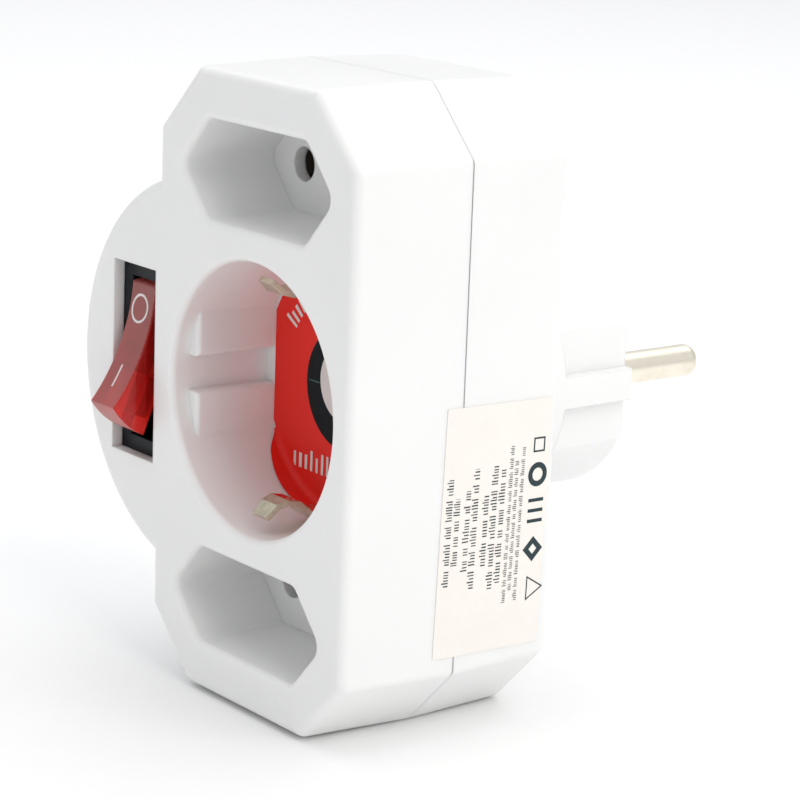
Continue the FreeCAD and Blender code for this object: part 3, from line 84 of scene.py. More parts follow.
class Graph:
    """Writes the nodes of one material or node group."""

    def __init__(self, tree: bpy.types.NodeTree) -> None:
        """Starts from an empty tree.

        Args:
            tree: the node tree to fill.
        """
        self.tree = tree
        tree.nodes.clear()

    def node(self, kind: str, **settings: object) -> bpy.types.Node:
        """Adds a node.

        Args:
            kind: Blender's name of the node type.
            settings: properties of the node to set.

        Returns:
            The new node.
        """
        made = self.tree.nodes.new(kind)
        for name, value in settings.items():
            setattr(made, name, value)
        return made

    def join(self, source: bpy.types.NodeSocket, target: bpy.types.NodeSocket) -> None:
        """Links an output to an input."""
        self.tree.links.new(source, target)

    def feed(self, value: object, target: bpy.types.NodeSocket) -> None:
        """Links a socket, or sets a plain value, on an input."""
        if isinstance(value, bpy.types.NodeSocket):
            self.join(value, target)
        else:
            target.default_value = value

    def maths(self, operation: str, *values: object, clamp: bool = False) -> bpy.types.NodeSocket:
        """Adds a Math node.

        Args:
            operation: the node's operation.
            values: sockets or numbers for its inputs, in order.
            clamp: whether the result is held between 0 and 1.

        Returns:
            The node's output.
        """
        made = self.node("ShaderNodeMath", operation=operation, use_clamp=clamp)
        for value, target in zip(values, made.inputs):
            self.feed(value, target)
        return made.outputs[0]

    def remap(self, value: object, low: object, high: object, start: object,
              end: object) -> bpy.types.NodeSocket:
        """Carries a value from one range to another, held at the ends.

        Args:
            value: what is carried over.
            low: start of the range it comes from.
            high: end of the range it comes from.
            start: what low becomes.
            end: what high becomes.

        Returns:
            The carried value.
        """
        made = self.node("ShaderNodeMapRange", clamp=True)
        for number, target in zip((value, low, high, start, end), made.inputs):
            self.feed(number, target)
        return made.outputs[0]

    def noise(self, place: bpy.types.NodeSocket, scale: object, detail: float = 2.0,
              rough: float = 0.5) -> bpy.types.NodeSocket:
        """Adds a noise texture.

        Args:
            place: the point that is looked up.
            scale: features per metre.
            detail: number of finer layers.
            rough: strength of the finer layers.

        Returns:
            The noise value, from 0 to 1.
        """
        made = self.node("ShaderNodeTexNoise")
        self.join(place, made.inputs["Vector"])
        self.feed(scale, made.inputs["Scale"])
        made.inputs["Detail"].default_value = detail
        made.inputs["Roughness"].default_value = rough
        return made.outputs[0]

    def blend(self, share: object, first: object, second: object, kind: str = "MIX") -> bpy.types.NodeSocket:
        """Mixes two colours.

        Args:
            share: how much of the second colour shows.
            first: colour or socket.
            second: colour or socket.
            kind: the blend mode.

        Returns:
            The mixed colour.
        """
        made = self.node("ShaderNodeMix", data_type="RGBA", blend_type=kind)
        inputs = [made.inputs[0], made.inputs[6], made.inputs[7]]
        for value, target in zip((share, first, second), inputs):
            self.feed((*value, 1.0) if isinstance(value, tuple) and len(value) == 3 else value, target)
        return made.outputs[2]

    def place(self, stretch: Colour = (1.0, 1.0, 1.0)) -> bpy.types.NodeSocket:
        """The point on the object in the row frame, stretched along each axis."""
        where = self.node("ShaderNodeTexCoord").outputs["Object"]
        if stretch == (1.0, 1.0, 1.0):
            return where
        mapping = self.node("ShaderNodeMapping")
        mapping.inputs["Scale"].default_value = stretch
        self.join(where, mapping.inputs["Vector"])
        return mapping.outputs[0]

    def shaded(self, colour: object, shade: object) -> bpy.types.NodeSocket:
        """Multiplies a colour by a grey value.

        Args:
            colour: colour or socket.
            shade: socket with the grey value.

        Returns:
            The shaded colour.
        """
        grey = self.node("ShaderNodeCombineColor")
        for target in grey.inputs[:3]:
            self.join(shade, target)
        return self.blend(1.0, colour, grey.outputs[0], "MULTIPLY")

    def sideways(self) -> bpy.types.NodeSocket:
        """How far the surface faces left or right, from 0 to 1."""
        parts = self.node("ShaderNodeSeparateXYZ")
        self.join(self.node("ShaderNodeTexCoord").outputs["Normal"], parts.inputs[0])
        return self.maths("ABSOLUTE", parts.outputs[0])

    def group(self, tree: bpy.types.NodeTree, **values: object) -> bpy.types.Node:
        """Places a node group and feeds its named inputs."""
        made = self.node("ShaderNodeGroup", node_tree=tree)
        for name, value in values.items():
            self.feed(value, made.inputs[name.replace("_", " ")])
        return made


class Effects:
    """Shader node groups that several finishes share, each made once and kept."""

    @staticmethod
    def open_group(
        name: str, inputs: dict[str, tuple[str, object]], outputs: dict[str, str]
    ) -> tuple[bpy.types.NodeTree, Graph, bpy.types.Node, bpy.types.Node]:
        """Starts a node group with named sockets.

        Args:
            name: name of the group.
            inputs: socket types and starting values by input name.
            outputs: socket types by output name.

        Returns:
            The tree, its graph, the input node and the output node.
        """
        tree = bpy.data.node_groups.new(name, "ShaderNodeTree")
        for label, (kind, value) in inputs.items():
            made = tree.interface.new_socket(name=label, in_out="INPUT", socket_type=kind)
            made.default_value = value
        for label, kind in outputs.items():
            tree.interface.new_socket(name=label, in_out="OUTPUT", socket_type=kind)
        graph = Graph(tree)
        return tree, graph, graph.node("NodeGroupInput"), graph.node("NodeGroupOutput")

    @classmethod
    @cache
    def moulded_skin(cls) -> bpy.types.NodeTree:
        """Fine spark-eroded grain of a moulding, with slow changes of gloss and shade.

        Returns:
            The group: Grain and Mottle in, Height, Shade and Sheen out.
        """
        tree, graph, given, out = cls.open_group(
            "moulded_skin",
            {"Grain": ("NodeSocketFloat", 1500.0), "Mottle": ("NodeSocketFloat", 0.03)},
            {"Height": "NodeSocketFloat", "Shade": "NodeSocketFloat", "Sheen": "NodeSocketFloat"},
        )
        where = graph.place()
        fine = graph.noise(where, given.outputs["Grain"], 3.0, 0.6)
        slow = graph.noise(where, 55.0, 3.0)
        streak = graph.noise(graph.place((1.0, 0.35, 1.0)), 160.0, 2.0)
        height = graph.maths("ADD", graph.maths("MULTIPLY", fine, 0.7), graph.maths("MULTIPLY", streak, 0.3))
        graph.join(height, out.inputs["Height"])
        darkest = graph.maths("SUBTRACT", 1.0, given.outputs["Mottle"])
        graph.join(graph.remap(slow, 0.35, 0.65, darkest, 1.0), out.inputs["Shade"])
        graph.join(graph.remap(slow, 0.3, 0.7, -1.0, 1.0), out.inputs["Sheen"])
        return tree

    @classmethod
    @cache
    def settled_dust(cls) -> bpy.types.NodeTree:
        """Dust that lies on faces that look up, in soft patches.

        Returns:
            The group: Amount in, Mask out.
        """
        tree, graph, given, out = cls.open_group(
            "settled_dust", {"Amount": ("NodeSocketFloat", 0.1)}, {"Mask": "NodeSocketFloat"})
        facing = graph.node("ShaderNodeSeparateXYZ")
        graph.join(graph.node("ShaderNodeNewGeometry").outputs["Normal"], facing.inputs[0])
        upward = graph.remap(facing.outputs[2], 0.2, 1.0, 0.0, 1.0)
        patches = graph.remap(graph.noise(graph.place(), 240.0, 4.0, 0.65), 0.35, 0.75, 0.2, 1.0)
        graph.join(graph.maths("MULTIPLY", graph.maths("MULTIPLY", upward, patches), given.outputs["Amount"]),
                   out.inputs["Mask"])
        return tree

    @classmethod
    @cache
    def drawn_lines(cls) -> bpy.types.NodeTree:
        """Fine parallel lines that rolling, drawing or turning leaves on metal.

        Returns:
            The group: Place and Spacing in, Height and Mask out.
        """
        tree, graph, given, out = cls.open_group(
            "drawn_lines",
            {"Place": ("NodeSocketVector", (0.0, 0.0, 0.0)), "Spacing": ("NodeSocketFloat", 900.0)},
            {"Height": "NodeSocketFloat", "Mask": "NodeSocketFloat"},
        )
        lines = graph.noise(given.outputs["Place"], given.outputs["Spacing"], 3.0, 0.7)
        graph.join(lines, out.inputs["Height"])
        graph.join(graph.remap(lines, 0.35, 0.7, 0.0, 1.0), out.inputs["Mask"])
        return tree

    @classmethod
    @cache
    def soft_edges(cls) -> bpy.types.NodeTree:
        """Normals that round off sharp edges by a small radius.

        Returns:
            The group: Radius in, Normal out.
        """
        tree, graph, given, out = cls.open_group(
            "soft_edges", {"Radius": ("NodeSocketFloat", 0.0003)}, {"Normal": "NodeSocketVector"})
        bevel = graph.node("ShaderNodeBevel", samples=6)
        graph.join(given.outputs["Radius"], bevel.inputs["Radius"])
        graph.join(bevel.outputs[0], out.inputs["Normal"])
        return tree


def start_material(name: str) -> tuple[bpy.types.Material, Graph, bpy.types.Node]:
    """Makes a material with a Principled shader on its output.

    Args:
        name: name of the material.

    Returns:
        The material, its graph and the shader node.
    """
    material = bpy.data.materials.new(name)
    material.use_nodes = True
    graph = Graph(material.node_tree)
    shader = graph.node("ShaderNodeBsdfPrincipled")
    graph.join(shader.outputs[0], graph.node("ShaderNodeOutputMaterial").inputs[0])
    return material, graph, shader


def raise_surface(graph: Graph, shader: bpy.types.Node, height: object, depth: float, edge: float) -> None:
    """Feeds the shader's normal from a height and from softened edges.

    Args:
        graph: graph of the material.
        shader: its Principled node.
        height: socket with the height, from 0 to 1.
        depth: full depth of the height in millimetres.
        edge: radius of the softened edges in millimetres.
    """
    bump = graph.node("ShaderNodeBump")
    bump.inputs["Strength"].default_value = 1.0
    bump.inputs["Distance"].default_value = depth * MM
    graph.join(height, bump.inputs["Height"])
    if edge > 0:
        graph.join(graph.group(Effects.soft_edges(), Radius=edge * MM).outputs[0], bump.inputs["Normal"])
    graph.join(bump.outputs[0], shader.inputs["Normal"])


@dataclass(frozen=True)
class Moulding:
    """Moulded or extruded plastic, and other plain coatings.

    Attributes:
        name: name of the material.
        colour: base colour.
        rough: mean roughness.
        grain: grains per metre of the surface texture.
        depth: depth of the grain in millimetres.
        mottle: how far the shade changes over the surface.
        dust: how much dust lies on it.
        edge: radius of the softened edges in millimetres.
        scatter: weight of light that goes into the plastic and out again.
        painted_seam_shadow_y: place along Y in millimetres of a painted shadow line in the seam between the
            shells, if it has one.
        gloss: strength of its plain reflection.
    """

    name: str
    colour: Colour
    rough: float
    grain: float = 1500.0
    depth: float = 0.004
    mottle: float = 0.03
    dust: float = 0.0
    edge: float = 0.25
    scatter: float = 0.0
    painted_seam_shadow_y: float | None = None
    gloss: float = 0.5

    def material(self) -> bpy.types.Material:
        """Builds the material."""
        material, graph, shader = start_material(self.name)
        skin = graph.group(Effects.moulded_skin(), Grain=self.grain, Mottle=self.mottle)
        colour = graph.shaded(self.colour, skin.outputs["Shade"])
        rough = graph.maths("ADD", self.rough, graph.maths("MULTIPLY", skin.outputs["Sheen"], 0.04))
        if self.dust > 0:
            dust = graph.group(Effects.settled_dust(), Amount=self.dust).outputs[0]
            colour = graph.blend(dust, colour, (0.62, 0.60, 0.57))
            rough = graph.maths("ADD", rough, graph.maths("MULTIPLY", dust, 0.5), clamp=True)
        # Painted shade: a thin dark line at the seam stands for the shade in the gap between the shells. It
        # is painted weaker where the surface does not face sideways.
        if self.painted_seam_shadow_y is not None:
            parts = graph.node("ShaderNodeSeparateXYZ")
            graph.join(graph.place(), parts.inputs[0])
            offset = graph.maths("SUBTRACT", parts.outputs[1], self.painted_seam_shadow_y * MM)
            distance = graph.maths("ABSOLUTE", offset)
            line = graph.remap(distance, 0.05 * MM, 0.14 * MM, 0.8, 0.0)
            sides = graph.remap(graph.sideways(), 0.75, 0.97, 0.12, 1.0)
            colour = graph.blend(graph.maths("MULTIPLY", line, sides), colour, (0.20, 0.20, 0.19))
        graph.join(colour, shader.inputs["Base Color"])
        graph.join(rough, shader.inputs["Roughness"])
        shader.inputs["IOR"].default_value = 1.5
        shader.inputs["Specular IOR Level"].default_value = self.gloss
        if self.scatter > 0:
            shader.inputs["Subsurface Weight"].default_value = self.scatter
            shader.inputs["Subsurface Radius"].default_value = (1.0, 0.9, 0.8)
            shader.inputs["Subsurface Scale"].default_value = 0.0012
        raise_surface(graph, shader, skin.outputs["Height"], self.depth, self.edge)
        return material


@dataclass(frozen=True)
class Metal:
    """Plated, rolled or turned metal.

    Attributes:
        name: name of the material.
        colour: colour of the clean metal.
        dull: colour where it is tarnished.
        rough: roughness of the clean metal.
        stretch: stretch of the lines along each axis; a small number draws them out that way.
        spacing: lines per metre.
        depth: depth of the lines in millimetres.
        edge: radius of the softened edges in millimetres.
    """

    name: str
    colour: Colour
    dull: Colour
    rough: float
    stretch: Colour = (1.0, 1.0, 0.05)
    spacing: float = 2500.0
    depth: float = 0.003
    edge: float = 0.12

    def material(self) -> bpy.types.Material:
        """Builds the material."""
        material, graph, shader = start_material(self.name)
        lines = graph.group(Effects.drawn_lines(), Place=graph.place(self.stretch), Spacing=self.spacing)
        stain = graph.remap(graph.noise(graph.place(), 260.0, 4.0, 0.6), 0.45, 0.75, 0.0, 1.0)
        graph.join(graph.blend(graph.maths("MULTIPLY", stain, 0.7), self.colour, self.dull),
                   shader.inputs["Base Color"])
        worn = graph.maths("ADD", self.rough, graph.maths("MULTIPLY", lines.outputs["Mask"], 0.12))
        graph.join(graph.maths("ADD", worn, graph.maths("MULTIPLY", stain, 0.10)), shader.inputs["Roughness"])
        shader.inputs["Metallic"].default_value = 1.0
        raise_surface(graph, shader, lines.outputs["Height"], self.depth, self.edge)
        return material


@dataclass(frozen=True)
class ClearPlastic:
    """Tinted see-through plastic or glass.

    Attributes:
        name: name of the material.
        colour: tint.
        rough: mean roughness.
        clear: weight of the light that passes through.
        edge: radius of the softened edges in millimetres.
    """

    name: str
    colour: Colour
    rough: float
    clear: float
    edge: float = 0.2

    def material(self) -> bpy.types.Material:
        """Builds the material."""
        material, graph, shader = start_material(self.name)
        skin = graph.group(Effects.moulded_skin(), Grain=900.0, Mottle=0.08)
        graph.join(graph.shaded(self.colour, skin.outputs["Shade"]), shader.inputs["Base Color"])
        graph.join(graph.maths("ADD", self.rough, graph.maths("MULTIPLY", skin.outputs["Sheen"], 0.03)),
                   shader.inputs["Roughness"])
        shader.inputs["IOR"].default_value = 1.5
        shader.inputs["Transmission Weight"].default_value = self.clear
        raise_surface(graph, shader, skin.outputs["Height"], 0.003, self.edge)
        return material


@dataclass(frozen=True)
class FrostedFace:
    """Clear plastic with polished flanks and a frosted working face.

    Attributes:
        name: name of the material.
        flank: tint of the polished flanks.
        face: tint of the frosted face.
        flank_rough: roughness of the flanks.
        face_rough: roughness of the face.
        clear: weight of the light that passes through.
        edge: radius of the softened edges in millimetres.
    """

    name: str
    flank: Colour
    face: Colour
    flank_rough: float
    face_rough: float
    clear: float
    edge: float = 0.2

    def material(self) -> bpy.types.Material:
        """Builds the material."""
        material, graph, shader = start_material(self.name)
        frosted = graph.remap(graph.sideways(), 0.35, 0.75, 1.0, 0.0)
        skin = graph.group(Effects.moulded_skin(), Grain=1600.0, Mottle=0.10)
        colour = graph.blend(frosted, self.flank, self.face)
        graph.join(graph.shaded(colour, skin.outputs["Shade"]), shader.inputs["Base Color"])
        rough = graph.remap(frosted, 0.0, 1.0, self.flank_rough, self.face_rough)
        graph.join(graph.maths("ADD", rough, graph.maths("MULTIPLY", skin.outputs["Sheen"], 0.03)),
                   shader.inputs["Roughness"])
        shader.inputs["IOR"].default_value = 1.5
        shader.inputs["Transmission Weight"].default_value = self.clear
        height = graph.maths("MULTIPLY", skin.outputs["Height"], frosted)
        raise_surface(graph, shader, height, 0.006, self.edge)
        return material


@dataclass(frozen=True)
class Sheet:
    """Paper or printed film, with its fibres or its orange-peel gloss.

    Attributes:
        name: name of the material.
        colour: colour of the sheet.
        rough: mean roughness.
        fibre: fibres per metre.
        depth: depth of the fibres in millimetres.
        mottle: how far the shade changes over the sheet.
        gloss: strength of its plain reflection.
    """

    name: str
    colour: Colour
    rough: float
    fibre: float = 2600.0
    depth: float = 0.004
    mottle: float = 0.04
    gloss: float = 0.5

    def material(self) -> bpy.types.Material:
        """Builds the material."""
        material, graph, shader = start_material(self.name)
        shader.inputs["Specular IOR Level"].default_value = self.gloss
        fibres = graph.noise(graph.place((1.0, 1.0, 0.4)), self.fibre, 4.0, 0.65)
        clouds = graph.noise(graph.place(), 180.0, 3.0)
        mixed = graph.maths("ADD", graph.maths("MULTIPLY", fibres, 0.5), graph.maths("MULTIPLY", clouds, 0.5))
        shade = graph.remap(mixed, 0.35, 0.65, 1.0 - self.mottle, 1.0)
        graph.join(graph.shaded(self.colour, shade), shader.inputs["Base Color"])
        rough = graph.remap(clouds, 0.3, 0.7, self.rough - 0.05, self.rough + 0.05)
        graph.join(rough, shader.inputs["Roughness"])
        raise_surface(graph, shader, fibres, self.depth, 0.0)
        return material


# The white shell carries a painted shadow line along the seam at SEAM_Y.
WHITE_SHELL = Moulding("white_shell", (0.86, 0.862, 0.855), 0.36, 1400.0, 0.004, 0.02, dust=0.03, edge=0.35,
                       scatter=0.25, painted_seam_shadow_y=SEAM_Y)
BLACK_FRAME = Moulding("black_frame", (0.005, 0.008, 0.011), 0.40, 1800.0, 0.006, 0.2, edge=0.25, gloss=0.2)
PLUNGER_PLASTIC = Moulding("plunger_plastic", (0.80, 0.78, 0.70), 0.45, 1500.0)
BROWN_WIRE = Moulding("brown_wire", (0.13, 0.055, 0.028), 0.50, 1200.0, 0.005, 0.12)
BLUE_WIRE = Moulding("blue_wire", (0.03, 0.11, 0.42), 0.50, 1200.0, 0.005, 0.12)
RESISTOR_COAT = Moulding("resistor_coat", (0.62, 0.50, 0.33), 0.38, 900.0, 0.010, 0.15)
RED_ROCKER = FrostedFace("red_rocker", flank=(0.98, 0.028, 0.020), face=(0.90, 0.27, 0.25),
                         flank_rough=0.05, face_rough=0.40, clear=0.70)
LAMP_GLASS = ClearPlastic("lamp_glass", (0.95, 0.85, 0.80), 0.04, 0.95)
PIN_METAL = Metal("pin_metal", (0.90, 0.85, 0.73), (0.78, 0.71, 0.60), 0.30, (1.0, 12.0, 1.0), 900.0, 0.001)
# The strip metal's dark tarnish colour is partly real tarnish and partly painted reflection: it is made dark
# to stand in for dark reflections on the polished clips.
STRIP_METAL = Metal("strip_metal", (0.76, 0.70, 0.55), (0.30, 0.26, 0.18), 0.10, (1.0, 0.06, 0.06))
BRASS = Metal("brass", (0.80, 0.60, 0.28), (0.48, 0.32, 0.14), 0.26, (1.0, 1.0, 0.05))
BRONZE = Metal("bronze", (0.72, 0.47, 0.26), (0.42, 0.26, 0.15), 0.28, (1.0, 0.05, 1.0))
RIVET_METAL = Metal("rivet_metal", (0.72, 0.68, 0.56), (0.5, 0.45, 0.35), 0.3, (1.0, 1.0, 1.0), 1800.0)
STEEL = Metal("steel", (0.62, 0.62, 0.62), (0.40, 0.39, 0.37), 0.30, (1.0, 1.0, 1.0), 1600.0)
SILVER = Metal("silver", (0.88, 0.87, 0.84), (0.55, 0.53, 0.50), 0.25, (1.0, 1.0, 1.0), 1600.0)
RED_FILM = Sheet("red_film", (0.86, 0.020, 0.012), 0.40, 1800.0, 0.002, 0.05, 0.30)
LABEL_PAPER = Sheet("label_paper", (0.90, 0.86, 0.81), 0.62, gloss=0.3)
DARK_INK = Sheet("dark_ink", (0.006, 0.011, 0.014), 0.40, 1800.0, 0.002, 0.2, 0.12)
LABEL_INK = Sheet("label_ink", (0.035, 0.060, 0.070), 0.60, 1800.0, 0.002, 0.3, 0.2)
TEAL_INK = Sheet("teal_ink", (0.03, 0.10, 0.11), 0.40, 1800.0, 0.002, 0.2)
PALE_INK = Sheet("pale_ink", (0.80, 0.74, 0.72), 0.45, 1800.0, 0.002, 0.12, 0.3)
MARK_INK = Sheet("mark_ink", (0.78, 0.74, 0.72), 0.40, 1800.0, 0.002, 0.08)
FLOOR_PAPER = Sheet("floor_paper", (0.93, 0.93, 0.93), 0.85, 900.0, 0.004, 0.01)
Finish = Moulding | Metal | ClearPlastic | FrostedFace | Sheet


@cache
def finished(finish: Finish) -> bpy.types.Material:
    """The material of one finish, made on first use."""
    return finish.material()


def dress(node: str, finish: Finish) -> None:
    """Gives a carried-over node its finish.

    Args:
        node: name of the node.
        finish: what it is made of.
    """
    materials = bpy.data.objects[node].data.materials
    materials.clear()
    materials.append(finished(finish))
    LOG.info("dressed %s in %s", node, finish.name)


@dataclass
class Print:
    """Thin closed shapes laid on a surface, all of one ink or film.

    Attributes:
        name: name of the piece.
        place: gives the point above the surface for two coordinates along it and a height.
        thickness: thickness of the shapes.
        lift: gap between the surface and the shapes.
    """

    name: str
    place: Placement
    thickness: float = 0.02
    lift: float = 0.012
    mesh: bmesh.types.BMesh = field(default_factory=bmesh.new)

    def band(self, near: Sequence[Point], far: Sequence[Point], closed: bool) -> None:
        """Adds a strip between two rows of points.

        Args:
            near: points along one side.
            far: as many points along the other side.
            closed: whether the strip's end joins its start.
        """
        rows = []
        for height in (self.lift, self.lift + self.thickness):
            for side in (near, far):
                rows.append([self.mesh.verts.new(self.place(u, v, height)) for u, v in side])
        low_near, low_far, high_near, high_far = rows
        count = len(near)
        for index in range(count if closed else count - 1):
            after = (index + 1) % count
            for first, second in ((low_near, low_far), (high_far, high_near), (low_far, high_far),
                                  (high_near, low_near)):
                self.mesh.faces.new((first[index], first[after], second[after], second[index]))
        if not closed:
            for index in (0, -1):
                ends = (low_near[index], low_far[index], high_far[index], high_near[index])
                self.mesh.faces.new(ends if index == 0 else ends[::-1])

    def bar(self, u0: float, u1: float, v0: float, v1: float, steps: int = 1) -> None:
        """Adds an upright rectangle, divided along its height.

        Args:
            u0: left side.
            u1: right side.
            v0: lower side.
            v1: upper side.
            steps: number of divisions.
        """
        levels = [v0 + (v1 - v0) * index / steps for index in range(steps + 1)]
        self.band([(u0, v) for v in levels], [(u1, v) for v in levels], False)

    def ring(self, u: float, v: float, outer: float, inner: float, steps: int = 48,
             turn: float = 0.0) -> None:
        """Adds a ring, or a many-sided frame when the steps are few.

        Args:
            u: centre.
            v: centre.
            outer: outer radius.
            inner: inner radius.
            steps: number of sides.
            turn: angle of the first corner in degrees.
        """
        sides = []
        for radius in (inner, outer):
            angles = [2 * math.pi * index / steps + math.radians(turn) for index in range(steps)]
            sides.append([(u + radius * math.cos(angle), v + radius * math.sin(angle)) for angle in angles])
        self.band(sides[0], sides[1], True)

    def patch(self, outline: Sequence[Point]) -> None:
        """Adds a filled flat shape.

        Args:
            outline: its corners in order.
        """
        low = [self.mesh.verts.new(self.place(u, v, self.lift)) for u, v in outline]
        high = [self.mesh.verts.new(self.place(u, v, self.lift + self.thickness)) for u, v in outline]
        self.mesh.faces.new(high)
        self.mesh.faces.new(low[::-1])
        for index, corner in enumerate(low):
            after = (index + 1) % len(low)
            self.mesh.faces.new((corner, low[after], high[after], high[index]))

    def strokes(self, chance: random.Random, base: float, start: float, end: float, tall: float,
                weight: float) -> None:
        """Adds a row of short strokes that stands for a row of print.

        Args:
            chance: source of the strokes' sizes.
            base: place of the foot of the row across it.
            start: where the row starts.
            end: where it ends.
            tall: height of the tallest stroke.
            weight: mean width of a stroke as a share of that height.
        """
        place = start
        word = chance.randint(3, 9)
        while place < end:
            stroke = tall * weight * chance.uniform(0.8, 1.2)
            rise = chance.choice((1.0, 0.72, 0.72))
            self.bar(base - tall * rise, base, place, min(place + stroke, end))
            place += stroke + tall * chance.uniform(0.17, 0.28)
            word -= 1
            if word == 0:
                place += tall * 0.55
                word = chance.randint(3, 9)

    def disc(self, u: float, v: float, radius: float, steps: int = 64) -> None:
        """Adds a filled disc."""
        angles = [2 * math.pi * index / steps for index in range(steps)]
        self.patch([(u + radius * math.cos(angle), v + radius * math.sin(angle)) for angle in angles])

    def build(self, finish: Sheet, body: Body, slot: Slot) -> bpy.types.Object:
        """Turns the shapes into a piece that rides on a body.

        Args:
            finish: the ink or film.
            body: body that it rides on.
            slot: not used.

        Returns:
            The new piece.
        """
        bmesh.ops.recalc_face_normals(self.mesh, faces=self.mesh.faces[:])
        data = bpy.data.meshes.new(self.name)
        self.mesh.to_mesh(data)
        self.mesh.free()
        data.materials.append(finished(finish))
        piece = bpy.data.objects.new(self.name, data)
        bpy.context.scene.collection.objects.link(piece)
        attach(piece, body.value)
        LOG.info("built %s with %d faces", self.name, len(data.polygons))
        return piece


@dataclass
class Housing:
    """The two shells and the screws that hold them together."""

    shells: tuple[str, str] = ("front_cover", "rear_housing")

    def build(self) -> None:
        """Dresses the shells and the screws."""
        for shell in self.shells:
            dress(shell, WHITE_SHELL)
        dress("housing_screws", STEEL)


@dataclass
class RoundSocket:
    """The earthed socket: its film sticker with the print on it, and the earth clips.

    Attributes:
        floor_depth: depth of the floor behind the front face, in millimetres.
        film: thickness of the sticker.
        film_radius: its radius.
        side: half the distance between its straight sides.
        notch_half: half the width of the notches for the clips.
        notch_z: where the notches begin.
        curl: how far the lower rim of the film climbs the wall.
        curl_start: angle below the level at which the rim begins to climb, in degrees.
        curl_fold: places of the fold at the foot of the curl, each from the film's rim and above the floor.
        curl_rim: place of its upper rim past the film's rim, and its height where it only starts to climb.
        curl_steps: number of divisions along it.
        dark_radius: radius of the dark field in its middle.
        dark_z: height of its middle.
        ring_radii: outer and inner radius of the pale ring on it.
        ring_z: height of the ring's middle.
        print_lift: gap between the film and what is printed over the dark field.
        arc_radius: radius along which the length of the upper row is measured.
        arc_start: angle at which that row starts, in degrees.
    """

    floor_depth: float = 16.7
    film: float = 0.15
    film_radius: float = 18.9
    side: float = 17.0
    notch_half: float = 2.8
    notch_z: float = 16.6
    curl: float = 2.7
    curl_start: float = 29.5
    curl_fold: tuple[Point, ...] = (
        (-1.7, 0.0), (-1.1, 0.06), (-0.6, 0.18), (-0.2, 0.40), (0.04, 0.72), (0.16, 1.1))
    curl_rim: Point = (0.22, 0.6)
    curl_steps: int = 32
    dark_radius: float = 8.9
    dark_z: float = -0.3
    ring_radii: Point = (5.6, 3.3)
    ring_z: float = 0.5
    print_lift: float = 0.036
    arc_radius: float = 14.8
    arc_start: float = 151.0

    def on_film(self, u: float, v: float, height: float) -> Vector:
        """The point above the film at a place on the socket's floor."""
        return Vector((u, FRONT_Y + self.floor_depth - self.film - height, v)) * MM

    def on_row(self, u: float, v: float, height: float) -> Vector:
        """The point above the film on a level row, for a place down it and a place along it."""
        return self.on_film(v, -u, height)

    def on_arc(self, u: float, v: float, height: float) -> Vector:
        """The point above the film on a row bent over the middle, read from its left end."""
        angle = math.radians(self.arc_start) - v / self.arc_radius
        return self.on_film(-u * math.cos(angle), -u * math.sin(angle), height)

    def on_floor(self, u: float, v: float, height: float) -> Vector:
        """The point above the socket's floor."""
        return Vector((u, FRONT_Y + self.floor_depth - height, v)) * MM

    def film_outline(self) -> list[Point]:
        """Outline of the film: a disc with two straight sides and two notches."""
        upper = []
        first = math.asin(math.sqrt(self.film_radius**2 - self.side**2) / self.film_radius)
        last = math.acos(self.notch_half / self.film_radius)
        for index in range(25):
            angle = first + (last - first) * index / 24
            upper.append((self.film_radius * math.cos(angle), self.film_radius * math.sin(angle)))
        right = upper + [(self.notch_half, self.notch_z)]
        top = right + [(-u, v) for u, v in reversed(right)]
        return top + [(-u, -v) for u, v in top]

    def lip_section(self, share: float) -> list[Point]:
        """The closed section of the curled rim at one place along it.

        Args:
            share: the place along it, from 0 at its start to 1 at the notch.

        Returns:
            Corners, each as its distance from the socket's axis and its height above the floor.
        """
        swell = 0.3 + 0.7 * math.sin(math.pi / 2 * min(share / 0.2, 1.0))
        climb = self.curl * math.sin(math.pi * 0.83 * share) ** 0.8
        path = [*self.curl_fold, (self.curl_rim[0], self.curl_rim[1] + climb)]
        path = [(out * swell, up * swell) for out, up in path]
        inner = [(self.film_radius + out - self.film * min(1.0, 2.2 * up), up + self.film * max(0.0, 1 - up))
                 for out, up in path]
        outer = [(self.film_radius + out, up) for out, up in path]
        return outer + inner[::-1]

    def curl_lip(self, sheet: Print, side: int) -> None:
        """Adds the part of the lower rim that curls up the wall on one side.

        Args:
            sheet: the print that the film belongs to.
            side: -1 for the left side and 1 for the right side.
        """
        last = 90 - math.degrees(math.asin(self.notch_half / self.film_radius)) - 1
        rows = []
        for index in range(self.curl_steps + 1):
            share = index / self.curl_steps
            angle = math.radians(-self.curl_start - (last - self.curl_start) * share)
            across = (side * math.cos(angle), math.sin(angle))
            rows.append([sheet.mesh.verts.new(self.on_floor(across[0] * reach, across[1] * reach, up))
                         for reach, up in self.lip_section(share)])
        for near, far in zip(rows, rows[1:]):
            for index in range(len(near)):
                after = (index + 1) % len(near)
                sheet.mesh.faces.new((near[index], near[after], far[after], far[index]))
        sheet.mesh.faces.new(rows[0])
        sheet.mesh.faces.new(rows[-1][::-1])

    def build_film(self) -> None:
        """Builds the unbroken film that stands for the sticker as sold."""
        sheet = Print("sticker_film", self.on_floor, thickness=self.film, lift=0.0)
        sheet.patch(self.film_outline())
        for side in SIDES:
            self.curl_lip(sheet, side)
        film = sheet.build(RED_FILM, Body.HOUSING, Slot.STICKER)
        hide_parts("socket_sticker")

